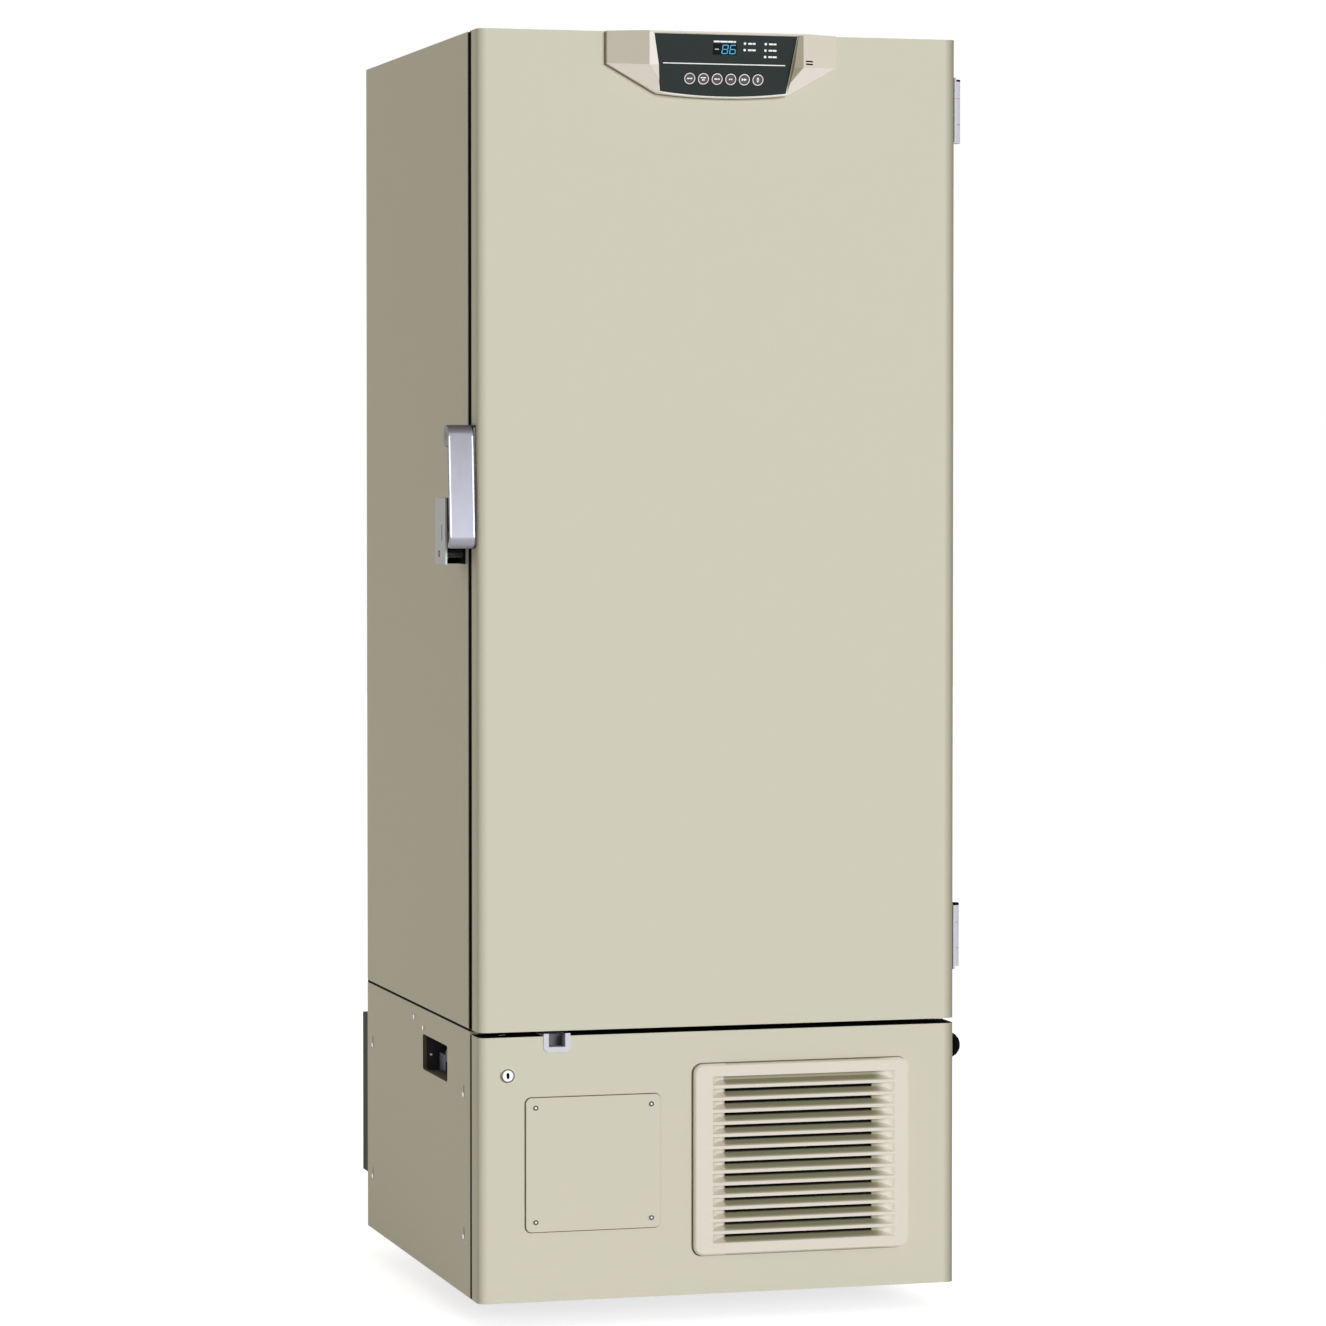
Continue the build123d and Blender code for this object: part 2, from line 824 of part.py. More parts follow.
def inner_door(low, high, pull_z):
    reach = chamber_half - inner_door_gap
    panel = block(-reach, reach, inner_door_front, inner_door_back, low, high)
    pull_x = -reach + inner_pull_inset
    pull = block(pull_x, pull_x + inner_pull_width, inner_door_front - 1, inner_door_front + inner_pull_depth,
                 pull_z - inner_pull_height / 2, pull_z + inner_pull_height / 2)
    inset = inner_field_inset
    field = block(-reach + inset, reach - inset, inner_door_front - 1, inner_door_front + inner_field_depth,
                  low + inset, high - inset)
    bore = inner_pin_radius + running_fit
    low_hole = rod_z(inner_pin_x, inner_pin_y, low - 1, low + inner_pin_length + 1, bore)
    high_hole = rod_z(inner_pin_x, inner_pin_y, high - inner_pin_length - 1, high + 1, bore)
    return panel - pull - field - low_hole - high_hole


def lower_inner_door():
    low = chamber_low + inner_door_gap
    high = chamber_middle - inner_door_gap / 2
    return inner_door(low, high, (low + high) / 2)


def upper_inner_door():
    low = chamber_middle + inner_door_gap / 2
    high = chamber_high - inner_door_gap
    return inner_door(low, high, (low + high) / 2)


def inner_hinge_brackets():
    """Small plates on the liner with the inner doors' pivot pins."""
    x0 = inner_pin_x - 2 * inner_pin_radius
    y0 = inner_pin_y - 2 * inner_pin_radius
    y1 = inner_pin_y + 4 * inner_pin_radius
    reach = inner_pin_length - inner_pin_radius
    low = block(x0, chamber_half, y0, y1, chamber_low, chamber_low + inner_bracket)
    low += rod_z(inner_pin_x, inner_pin_y, chamber_low, chamber_low + inner_bracket + reach,
                 inner_pin_radius)
    half_plate = inner_bracket / 2
    middle = block(x0, chamber_half, y0, y1, chamber_middle - half_plate, chamber_middle + half_plate)
    middle += rod_z(inner_pin_x, inner_pin_y, chamber_middle - half_plate - reach,
                    chamber_middle + half_plate + reach, inner_pin_radius)
    high = block(x0, chamber_half, y0, y1, chamber_high - inner_bracket, chamber_high)
    high += rod_z(inner_pin_x, inner_pin_y, chamber_high - inner_bracket - reach, chamber_high,
                  inner_pin_radius)
    return group([low, middle, high])


# Lower front panel with grille, plate, lock and finger recess

recess_top = panel_top + recess_rise
guide_low = lock_z + lock_radius + guide_rise
guide_high = guide_low + guide_height


def recess_shape(grow, y0, y1, top):
    """The finger recess's outline, rounded at its lower corners."""
    solid = block(recess_left + grow, recess_right - grow, y0, y1, recess_low + grow, top)
    lower = solid.edges().filter_by(Axis.Y).sort_by(Axis.Z)[:2]
    return fillet(lower, recess_radius - grow)


def bolt_space(gap, low, high):
    reach = bolt_width / 2 + gap
    depth = bolt_thickness / 2 + gap
    return block(lock_x - reach, lock_x + reach, bolt_y - depth, bolt_y + depth, low, high)


def front_panel():
    pan = rounded_front(-half_width, half_width, 0, panel_depth, panel_bottom, panel_top, edge_radius)
    hollow = rounded_front(-half_width + panel_sheet, half_width - panel_sheet, panel_sheet,
                           panel_depth + 1, panel_bottom + panel_sheet, panel_top - panel_sheet,
                           edge_radius - panel_sheet)
    opening = plate_xz(grille_left + grille_rim, grille_right - grille_rim, -1, panel_sheet + 1,
                       grille_low + grille_rim, grille_high - grille_rim, grille_radius / 2)
    lock_hole = rod_y(lock_x, -1, panel_sheet + 1, lock_z, lock_radius - lock_flange)
    notch = recess_shape(recess_rim / 2, -1, recess_depth, panel_top + 1)
    bolt_slot = bolt_space(bolt_gap, panel_top - 2 * panel_sheet, panel_top + 1)
    return pan - hollow - opening - lock_hole - notch - bolt_slot


def scoop_plan(z0, z1):
    """The outline of a scoop from above: a straight back that sweeps out to the face in hollow curves."""
    deep = scoop_depth - grille_proud
    face = -grille_proud
    bend = face + scoop_hollow * scoop_depth
    left_turn = (scoop_left + scoop_bow * (slot_left - scoop_left), bend, z0)
    right_turn = (scoop_right + scoop_bow * (slot_right - scoop_right), bend, z0)
    sides = Polyline((slot_right, deep, z0), (slot_left, deep, z0))
    sides += Spline((slot_left, deep, z0), left_turn, (scoop_left, face, z0))
    sides += Polyline((scoop_left, face, z0), (scoop_left, face - 1, z0), (scoop_right, face - 1, z0),
                      (scoop_right, face, z0))
    sides += Spline((scoop_right, face, z0), right_turn, (slot_right, deep, z0))
    return extrude(make_face(sides), z1 - z0, dir=(0, 0, 1))


def grille():
    """A raised frame with sloping scoops under air slots, and a blind scoop above the first slot."""
    body = plate_xz(grille_left, grille_right, -grille_proud, 0, grille_low, grille_high, grille_radius)
    body = chamfer(body.faces().sort_by(Axis.Y)[0].edges(), grille_proud / 3)
    body += plate_xz(grille_left + grille_rim, grille_right - grille_rim, 0, grille_back,
                     grille_low + grille_rim, grille_high - grille_rim, grille_radius / 2)
    deep = scoop_depth - grille_proud
    face = -grille_proud
    for number in range(-1, slot_count):
        top = slot_top_z - slot_pitch * number
        low = top - scoop_height
        wedge = prism_x([(face - 1, top), (deep, top), (deep, top - slot_height), (face, low),
                         (face - 1, low)], scoop_left, scoop_right)
        body -= wedge & scoop_plan(low - 1, top + 1)
        if number >= 0:
            body -= block(slot_left, slot_right, face - 1, grille_back + 1, top - slot_height, top)
    return body


def air_filter():
    return block(grille_left + grille_rim, grille_right - grille_rim, grille_back,
                 grille_back + filter_thickness, grille_low + grille_rim, grille_high - grille_rim)


def recorder_plate():
    return plate_xz(plate_left, plate_right, -plate_thickness, 0, plate_low, plate_high, plate_radius)


def lock_body():
    """The lock's barrel and the block that guides its bolt."""
    flange = rod_y(lock_x, -lock_proud, 0, lock_z, lock_radius)
    barrel = rod_y(lock_x, 0, lock_depth, lock_z, lock_radius - lock_flange)
    hole = rod_y(lock_x, -lock_proud - 1, lock_depth + 1, lock_z, lock_plug_radius + lock_fit)
    reach = bolt_width / 2 + guide_wall
    guide = block(lock_x - reach, lock_x + reach, panel_sheet, bolt_y + bolt_thickness / 2 + guide_wall,
                  guide_low, guide_high)
    return group([flange + barrel - hole, guide - bolt_space(bolt_gap, guide_low - 1, guide_high + 1)])


def lock_cylinder():
    """The plug the key turns, with a driving tongue behind."""
    plug = rod_y(lock_x, -lock_proud + touch_gap, lock_depth, lock_z, lock_plug_radius)
    keyway = block(lock_x - keyway_width / 2, lock_x + keyway_width / 2, -lock_proud - 1, lock_depth / 2,
                   lock_z - keyway_height / 2, lock_z + keyway_height / 2)
    tongue_back = bolt_y - bolt_thickness / 2 - bolt_gap
    tongue = block(lock_x - tongue_half, lock_x + lock_plug_radius, lock_depth, tongue_back,
                   lock_z - tongue_half, lock_z + tongue_half)
    return plug - keyway + tongue


def lock_bolt():
    return bolt_space(0, lock_z - lock_radius, panel_top - 1)


def finger_recess():
    rim = recess_shape(0, -recess_proud, 0, recess_top)
    back = recess_shape(recess_rim / 2, 0, recess_depth, panel_top)
    pocket = recess_shape(recess_rim, -recess_proud - 1, recess_depth - recess_wall, recess_top + 1)
    return rim + back - pocket


# Machine compartment: base, covers, cooling parts and switch

base_top = base_height + base_sheet
fan_x = (grille_left + grille_right) / 2
fan_z = (grille_low + grille_high) / 2
condenser_front = cover_front + condenser_gap
condenser_back = condenser_front + condenser_depth
ring_back = condenser_back + shroud_depth
motor_front = ring_back + shroud_arm_depth
fan_front = condenser_back + (shroud_depth - fan_depth) / 2
switch_y = (window_front + window_back) / 2
switch_z = (window_low + window_high) / 2
rocker_x = -half_width + rocker_axis_inset
plain_screw_y = window_back + plain_screw_gap
plain_screw_z = cover_high - plain_screw_drop
cover_screw_places = [(plain_screw_y, plain_screw_z),
                      (plain_screw_y - plain_screw_step, plain_screw_z - plain_screw_fall)]
for screw_y in (cover_front + front_screw_inset, cabinet_back - rear_screw_inset):
    for screw_z in (cover_high - upper_screw_drop, panel_bottom + lower_screw_rise):
        cover_screw_places.append((screw_y, screw_z))
compressor_y = (ring_back + cabinet_back) / 2 + compressor_radius


def base_frame():
    """A tray with corner posts and front panel brackets, and the casters' fixed halves under it."""
    reach = half_width - cover_sheet
    front = cover_front + cover_sheet
    back = cabinet_back - cover_sheet
    tray = block(-reach, reach, front, back, base_height, base_top)
    pieces = caster_mounts()
    for side in (-1, 1):
        x0, x1 = sorted((side * reach, side * (reach - post_size)))
        for y in (front, back - post_size):
            pieces.append(block(x0, x1, y, y + post_size, base_top, door_bottom))
        edge = half_width - edge_radius - 1
        x0, x1 = sorted((side * edge, side * (edge - bracket_width)))
        for z in (base_top + bracket_height / 2, lock_z - 3 * bracket_height):
            pieces.append(block(x0, x1, panel_sheet, front, z, z + bracket_height))
        tray -= rod_z(side * foot_x, foot_y, base_height - 1, base_top + 1, foot_stem_radius + running_fit)
    return group([tray] + pieces)


def side_window(x0, x1, grow):
    solid = block(x0, x1, window_front - grow, window_back + grow, window_low - grow, window_high + grow)
    return fillet(solid.edges().filter_by(Axis.X), side_window_radius)


def side_cover(side):
    """A sheet with turned-in front and back edges."""
    x0, x1 = sorted((side * half_width, side * (half_width - cover_flange)))
    solid = block(x0, x1, cover_front, cabinet_back, panel_bottom, cover_high)
    y0, y1 = cover_front + cover_sheet, cabinet_back - cover_sheet
    x0, x1 = sorted((side * (half_width - cover_sheet), 0))
    cover = solid - block(x0, x1, y0, y1, panel_bottom - 1, cover_high + 1)
    x0, x1 = sorted((side * (half_width - cover_front_flange), 0))
    cover -= block(x0, x1, cover_front - 1, y0 + 1, panel_bottom - 1, cover_high + 1)
    if side < 0:
        cover -= side_window(-half_width - 1, -half_width + cover_sheet + 1, 0)
    return cover


def side_covers():
    return group([side_cover(-1), side_cover(1)])


def cover_screws():
    """The screw heads of the blank plate and of both side covers."""
    heads = []
    for x in (plate_left + screw_inset, plate_right - screw_inset):
        for z in (plate_low + screw_inset, plate_high - screw_inset):
            front = -plate_thickness - screw_head
            head = rod_y(x, front, -plate_thickness, z, screw_radius)
            heads.append(head)
    for side in (-1, 1):
        for y, z in cover_screw_places:
            x0, x1 = sorted((side * half_width, side * (half_width + screw_head)))
            heads.append(rod_x(x0, x1, y, z, screw_radius))
    return group(heads)


def rear_cover():
    """The back sheet of the machine compartment with its deep hood."""
    reach = half_width - rear_cover_inset
    back = cabinet_back + rear_cover_depth
    solid = block(-reach, reach, cabinet_back, back, rear_cover_low, rear_cover_high)
    solid += block(-reach, reach, cabinet_back, cabinet_back + cover_sheet, base_top, cover_high)
    inside = block(-reach + cover_sheet, reach - cover_sheet, cabinet_back - 1, back - cover_sheet,
                   rear_cover_low + cover_sheet, rear_cover_high - cover_sheet)
    return solid - inside - inlet_shape(back - inlet_depth, back + 1)


def inlet_shape(y0, y1):
    x = half_width / 2
    z = rear_cover_low + inlet_height
    return block(x - inlet_width / 2, x + inlet_width / 2, y0, y1,
                 z - inlet_height / 2, z + inlet_height / 2)


def power_inlet():
    """A recessed socket in the rear cover."""
    back = cabinet_back + rear_cover_depth
    socket = inlet_shape(back - inlet_depth, back)
    x = half_width / 2
    z = rear_cover_low + inlet_height
    wide = inlet_width / 2 - inlet_wall
    high = inlet_height / 2 - inlet_wall
    well = block(x - wide, x + wide, back - inlet_depth + inlet_wall, back + 1, z - high, z + high)
    return socket - well


def condenser():
    low, high = base_top, grille_high - grille_rim
    core = block(grille_left + grille_rim, grille_right - grille_rim, condenser_front, condenser_back,
                 low, high)
    for step in range(1, fin_rows):
        z = low + (high - low) * step / fin_rows
        core -= block(grille_left, grille_right, condenser_front - 1, condenser_front + condenser_depth / 3,
                      z - fin_gap / 2, z + fin_gap / 2)
    return core


def fan_shroud():
    low, high = base_top, grille_high - grille_rim
    outer = fan_radius + fan_tip_gap + shroud_wall
    plate = block(grille_left + grille_rim, grille_right - grille_rim, condenser_back,
                  condenser_back + shroud_wall, low, high)
    ring = rod_y(fan_x, condenser_back, ring_back, fan_z, outer)
    half_arm = shroud_arm / 2
    reach = outer - shroud_wall / 2
    arm_front = ring_back - shroud_arm_depth
    arms = block(fan_x - reach, fan_x + reach, arm_front, ring_back, fan_z - half_arm, fan_z + half_arm)
    arms += block(fan_x - half_arm, fan_x + half_arm, arm_front, ring_back, fan_z - reach, fan_z + reach)
    arms += rod_y(fan_x, arm_front, motor_front, fan_z, motor_radius)
    hole = rod_y(fan_x, condenser_back - 1, ring_back + 1, fan_z, fan_radius + fan_tip_gap)
    shaft = rod_y(fan_x, condenser_back, motor_front + 1, fan_z, fan_shaft_radius + ear_sheet)
    return plate + ring - hole + arms - shaft


def fan_motor():
    case = rod_y(fan_x, motor_front, motor_front + motor_length, fan_z, motor_radius)
    return case + rod_y(fan_x, fan_front, motor_front, fan_z, fan_shaft_radius)


def fan_blade():
    depth = fan_depth - 2 * shroud_arm_depth
    wheel = rod_y(fan_x, fan_front, fan_front + depth, fan_z, fan_hub_radius)
    chord = 1.8 * depth
    span = fan_radius - fan_hub_radius + fan_root
    for number in range(fan_blades):
        middle = Pos(fan_radius - span / 2, 0, 0)
        blade = middle * Rot(fan_pitch_angle, 0, 0) * Box(span, fan_sheet, chord)
        turn = Pos(fan_x, fan_front + depth / 2, fan_z) * Rot(0, number * 360 / fan_blades, 0)
        wheel += turn * blade
    bore = fan_shaft_radius + running_fit
    return wheel - rod_y(fan_x, fan_front - depth, fan_front + 2 * depth, fan_z, bore)


def compressors():
    units = []
    for side in (-1, 1):
        x = side * compressor_pitch / 2
        low = base_top + compressor_foot
        shoulder = low + compressor_height - compressor_radius / 2
        can = rod_z(x, compressor_y, low, shoulder, compressor_radius)
        top = rod_z(x, compressor_y, shoulder, low + compressor_height, compressor_radius)
        top = chamfer(top.faces().sort_by(Axis.Z)[-1].edges(), compressor_radius / 2 - 1)
        reach = compressor_radius * 0.9
        under = low - compressor_plate
        foot = block(x - reach, x + reach, compressor_y - reach, compressor_y + reach, under, low)
        pad = reach - 1.2 * compressor_pad_radius
        for dx in (-pad, pad):
            for dy in (-pad, pad):
                foot += rod_z(x + dx, compressor_y + dy, base_top, under, compressor_pad_radius)
        units.append(can + top + foot)
    return group(units)


def electrical_box():
    x0 = -half_width + box_inset
    y0 = condenser_back
    return block(x0, x0 + box_width, y0, y0 + box_depth, base_top, base_top + box_height)


def switch_box():
    """An open box behind the side window, with ears for the rocker."""
    wall = switch_box_wall
    x0 = -half_width + cover_sheet
    outer = side_window(x0, x0 + switch_box_depth, 2 * wall)
    inner = side_window(x0 - 1, x0 + switch_box_depth - wall, wall)
    box = outer - inner
    for y in (switch_y - rocker_width / 2 - ear_gap - ear_sheet, switch_y + rocker_width / 2 + ear_gap):
        ear = block(rocker_x - ear_half, x0 + switch_box_depth - wall, y, y + ear_sheet,
                    switch_z - ear_half, switch_z + ear_half)
        box += ear - rod_y(rocker_x, y - 1, y + ear_sheet + 1, switch_z, rocker_pin_radius + running_fit)
    return box


def breaker_rocker():
    half_cap = rocker_width / 2
    cap = block(rocker_x - rocker_thickness / 2, rocker_x + rocker_thickness / 2, switch_y - half_cap,
                switch_y + half_cap, switch_z - rocker_height / 2, switch_z + rocker_height / 2)
    cap = chamfer(cap.faces().sort_by(Axis.X)[0].edges().filter_by(Axis.Y), rocker_thickness / 4)
    pin = half_cap + ear_gap + ear_sheet
    return cap + rod_y(rocker_x, switch_y - pin, switch_y + pin, switch_z, rocker_pin_radius)


def side_bumper():
    """A black rubber dome on the right cover, turned in a few conical steps."""
    neck = half_width + bumper_neck
    rise = bumper_height - bumper_neck
    dome = rod_x(half_width, neck, bumper_y, bumper_z, bumper_radius)
    end = math.radians(dome_end)
    for step in range(dome_steps):
        first = end * step / dome_steps
        last = end * (step + 1) / dome_steps
        x0 = neck + rise * math.sin(first) / math.sin(end)
        x1 = neck + rise * math.sin(last) / math.sin(end)
        cone = Cone(bumper_radius * math.cos(first), bumper_radius * math.cos(last), x1 - x0)
        dome += Pos((x0 + x1) / 2, bumper_y, bumper_z) * Rot(0, 90, 0) * cone
    return dome


# Casters and levelling feet

fork_inner = wheel_width / 2 + fork_gap
crown_low = 2 * wheel_radius + front_caster_lift + crown_gap
front_wheel_y = front_caster_y + caster_trail


def caster_mounts():
    """Front swivel plates with their stems, and the two fixed rear forks."""
    pieces = []
    for side in (-1, 1):
        x = side * caster_x
        low = base_height - caster_plate
        wide = caster_plate_half_width
        deep = caster_plate_half_depth
        collar = crown_low - collar_height
        plate = block(x - wide, x + wide, front_caster_y - deep, front_caster_y + deep, low, base_height)
        plate += rod_z(x, front_caster_y, collar, low, caster_stem_radius)
        plate += rod_z(x, front_caster_y, collar, crown_low - knuckle_gap, caster_stem_radius + caster_collar)
        pieces.append(plate)
        fork = block(x - wide, x + wide, rear_caster_y - deep, rear_caster_y + deep, low, base_height)
        for edge in (-fork_inner - fork_sheet, fork_inner):
            fork += block(x + edge, x + edge + fork_sheet, rear_caster_y - fork_end, rear_caster_y + fork_end,
                          wheel_radius - fork_end, low)
        fork += rod_x(x - fork_inner - fork_sheet, x + fork_inner + fork_sheet, rear_caster_y, wheel_radius,
                      wheel_pin_radius)
        pieces.append(fork)
    return pieces


def front_fork(side):
    x = side * caster_x
    z = wheel_radius + front_caster_lift
    outer = fork_inner + fork_sheet
    top = crown_low + fork_sheet
    y0 = front_caster_y - fork_crown
    y1 = front_caster_y + fork_crown
    fork = block(x - outer, x + outer, y0, y1, crown_low, top)
    for edge in (-outer, fork_inner):
        arm = prism_x([(y0, top), (y1, top), (front_wheel_y + fork_end, z),
                       (front_wheel_y + fork_end / 2, z - fork_end),
                       (front_wheel_y - fork_end / 2, z - fork_end)], x + edge, x + edge + fork_sheet)
        fork += arm
    fork += rod_x(x - outer, x + outer, front_wheel_y, z, wheel_pin_radius)
    return fork - rod_z(x, front_caster_y, crown_low - 1, top + 1, caster_stem_radius + running_fit)


def wheel(side, y, lift):
    x = side * caster_x
    z = wheel_radius + lift
    tread = rod_x(x - wheel_width / 2, x + wheel_width / 2, y, z, wheel_radius)
    tread = chamfer(tread.edges().filter_by(GeomType.CIRCLE), wheel_edge)
    return tread - rod_x(x - wheel_width, x + wheel_width, y, z, wheel_pin_radius + running_fit)


def levelling_foot(side):
    x = side * foot_x
    pad = rod_z(x, foot_y, 0, foot_height, foot_radius)
    return pad + rod_z(x, foot_y, foot_height, base_top - touch_gap, foot_stem_radius)


os.makedirs("parts", exist_ok=True)
pieces = (
    door_skin, door_insulation, door_inner_panel, door_gasket, control_housing, display_panel,
    display_module, indicator_lamps, handle_base, door_lever, latch_pawl, door_hinge_leaves,
    cabinet_hinges, strike_bracket, strike_roller, cabinet_shell, cabinet_insulation, inner_liner,
    breaker_strip, access_port, shelves,
    lower_inner_door, upper_inner_door, inner_hinge_brackets, front_panel, grille, air_filter,
    recorder_plate, lock_body, lock_cylinder, lock_bolt, finger_recess, base_frame, side_covers,
    cover_screws, rear_cover,
    power_inlet, condenser, fan_shroud, fan_motor, fan_blade, compressors, electrical_box, switch_box,
    breaker_rocker, side_bumper,
)
for piece in pieces:
    save(piece.__name__, piece())
for number in range(key_count):
    save(f"key_{number + 1}", control_key(number))
for side, word in ((-1, "left"), (1, "right")):
    save(f"{word}_front_fork", front_fork(side))
    save(f"{word}_front_wheel", wheel(side, front_wheel_y, front_caster_lift))
    save(f"{word}_rear_wheel", wheel(side, rear_caster_y, 0))
    save(f"{word}_foot", levelling_foot(side))
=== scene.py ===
import math

import bpy
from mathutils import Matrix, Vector


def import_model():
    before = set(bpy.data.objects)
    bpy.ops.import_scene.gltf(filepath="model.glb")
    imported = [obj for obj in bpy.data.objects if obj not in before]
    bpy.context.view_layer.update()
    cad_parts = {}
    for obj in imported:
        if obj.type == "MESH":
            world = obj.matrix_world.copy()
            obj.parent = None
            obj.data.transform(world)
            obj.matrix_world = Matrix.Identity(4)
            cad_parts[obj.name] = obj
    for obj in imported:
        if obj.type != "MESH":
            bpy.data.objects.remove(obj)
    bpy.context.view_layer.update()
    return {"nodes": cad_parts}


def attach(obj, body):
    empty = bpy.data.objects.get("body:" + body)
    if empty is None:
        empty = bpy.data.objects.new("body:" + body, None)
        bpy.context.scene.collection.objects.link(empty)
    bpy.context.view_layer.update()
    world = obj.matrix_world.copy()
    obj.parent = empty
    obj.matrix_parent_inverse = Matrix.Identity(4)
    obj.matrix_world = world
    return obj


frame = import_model()
nodes = frame["nodes"]
bpy.context.view_layer.update()

# Sizes are in metres. Places that start from the cabinet's centre line or from the door's front plane
# move by these two into the shared frame
shift_x = 0.0025
shift_y = -0.410

# Thin films, the room left beside them, painted shadow lines and curves
film = 0.0002
clear = 0.0006
shadow_width = 0.0015
shadow_shift = 0.0008
curve_steps = 16

# Dark face, in its own plane from its middle
cabinet_top = 1.994
face_top_drop = 0.0025
face_length = 0.090
face_slope = 0.018
face_mid_proud = 0.023
face_mid = (shift_x, -face_mid_proud + shift_y, cabinet_top - face_top_drop - face_length / 2)
face_tilt = math.atan2(face_slope, face_length)
face_top_half = 0.116
face_bottom_half = 0.1026
face_taper = (face_top_half - face_bottom_half) / face_length
face_half_run = 0.0459
face_sag = 0.0065
highlight_width = 0.0014

# Display, rule and labels on the dark face
display_x = -0.0009
display_y = 0.022
digit_half = 0.0043
digit_tall = 0.0072
digit_lean = 0.12
stroke_half = 0.0007
stroke_cut = 0.0006
eight_x = 0.0003
six_x = 0.0128
minus_left = -0.0160
minus_right = -0.0095
minus_half = 0.0008
rule_left = -0.0985
rule_right = 0.0975
rule_low = -0.0017
rule_high = -0.0002
label_tall = 0.0026
dash_gap = 0.0007
title_x = -0.0185
title_y = 0.0118
title_widths = (0.0095, 0.0120, 0.0080, 0.0040)

# Labels beside the lamps: each column's place and its number of lamps
lamp_columns = ((0.0308, 2), (0.0643, 3))
lamp_row = 0.0315
lamp_pitch = 0.0099
lamp_label_x = 0.0052
lamp_label_first = 0.0062
lamp_label_second = 0.0050
lamp_label_growth = 0.0008

# Keys
key_count = 6
key_pitch = 0.0219
key_row = -0.024
key_radius = 0.0088
key_dish = 0.0075
key_ring_height = 0.00086
key_sign_height = 0.00046
arrow_half = 0.0022
arrow_long = 0.0040
arrow_gap = 0.0007
arrow_tip = 0.0042

# Strokes on the first four keys, row by row: left end, place of the row, widths and height
key_strokes = (
    ((-0.0042, 0.0, (0.0036, 0.0040), 0.0020),),
    ((-0.0042, 0.0016, (0.0030, 0.0046), 0.0018), (-0.0022, -0.0018, (0.0044,), 0.0018)),
    ((-0.0042, 0.0, (0.0046, 0.0030), 0.0020),),
    ((-0.0026, 0.0, (0.0022, 0.0024), 0.0020),),
)

# Control housing, from the centre line, the door's front and the housing's top
ridge_half = 0.1235
ridge_proud = 0.035
ridge_drop = 0.052
fold_drop = 0.0754
fold_proud = 0.0246
housing_half = 0.184
housing_side_drop = 0.050
housing_bottom_half = 0.105
housing_low_drop = 0.094
housing_sag = 0.006
wing_slope = 0.413
buzzer_x = 0.1345
buzzer_drop = 0.044
buzzer_half_long = 0.0064
buzzer_half_high = 0.0011
buzzer_pitch = 0.0044

# Painted shadow lines, and painted shade in the gaps, on the front panel's top strip and along the back
# edges of the lower part and the door
shadow_radii = (("recorder_plate", 0.0085), ("grille", 0.015))
gap_depth = 0.012
gap_inset = 0.0002
gap_end = 0.002
corner_radius = 0.014
corner_steps = 9
strip_inset = 0.0015
door_edge_width = 0.006
panel_edge_width = 0.003

# Screws: distances of the corner screws from the side covers' edges, and the plate's screws
keyhole_front = 0.041
keyhole_back = 0.0425
keyhole_top = 0.102
keyhole_bottom = 0.090
keyhole_half = 0.0018
keyhole_start = 0.0035
keyhole_end = 0.015
screw_radius = 0.004
screw_socket = 0.4 * screw_radius
screw_inset = 0.015
screw_proud = 0.0015

# Lock
lock_x = shift_x - 0.340
lock_z = 0.3926
lock_proud = 0.004
lock_shade_radii = (0.0105, 0.0086)
lock_highlight_radii = (0.0078, 0.0020)
keyway_half_wide = 0.0021
keyway_half_high = 0.0046
keyway_radius = 0.0020

# Strike, lever and hinges
strike_sheet = 0.003
strike_cheek = 0.022
strike_pin_y = 0.092 + shift_y
strike_pin_rise = 0.016
strike_pin_radii = (0.0052, 0.0030)
lever_top_y = 0.015 + shift_y
lever_end_y = 0.003 + shift_y
lever_end_room = 0.017
lever_strip = 0.0022
hinge_x = 0.399 + shift_x
hinge_y = 0.058 + shift_y
hinge_height = 0.100
hinge_shade_radius = 0.01215
hinge_shade_height = 0.003

# Side window, from the left cover's front and top edges, and the switch box behind it
window_front = 0.1537
window_back = 0.3270
window_top = 0.0400
window_bottom = 0.0972
window_radius = 0.006
window_fold = 0.0065
case_wall = 0.002
guard_gap = 0.001
guard_depth = 0.040
guard_low_rise = 0.002
guard_high_rise = 0.029
switch_lamp_depth = 0.0135
switch_lamp_drop = 0.034
switch_lamp_half = 0.0013
switch_lamp_reach = 0.003

# Where painted shade and painted light start and where they are full: distances from an edge of the solid
scoop_depth = (0.0002, 0.0045)
scoop_left = (0.0490, 0.0528)
scoop_right = (0.0240, 0.0561)
scoop_end = (0.0500, 0.0270)
edge_across = (0.0190, 0.0040)
edge_front = (0.020, 0.010)
recess_start = 0.003

# Where painted shade and painted light start and where they are full: how far the surface faces along an
# axis
scoop_end_facing = (-0.1, -0.5)
lever_top_facing = (0.25, 0.95)
wing_facing = (-0.1, -0.35)

# Fine structure of the finishes
noise_detail = 3.0
rough_spread = 0.05
relief_height = 0.0003
lengthwise = (1, 1, 0.05)
crosswise = (0.05, 1, 1)

# Studio, light and camera
floor_size = 40
floor_drop = 0.002
floor_fill = 0.72
world_tint = (1.0, 0.891, 0.75, 1.0)
world_white = (1.0, 1.0, 1.0, 1.0)
world_level = 0.35
light_softness = 20
key_light_way = (-0.30, 0.93, -0.20)
key_light_strength = 2.19
key_light_colour = (0.851, 0.904, 0.983)
back_light_way = (0.0, -0.95, -0.30)
back_light_strength = 0.8
back_light_colour = (0.92, 0.96, 1.0)
photo_pixels = 1326
focal_pixels = 4790.06
sensor_width = 36.0
lens_shift = -0.06
camera_place = (-2.09551 + shift_x, -7.11369 + shift_y, 1.32539)
camera_pitch = 0.02428
camera_turn = 0.27451
clip_distance = 100


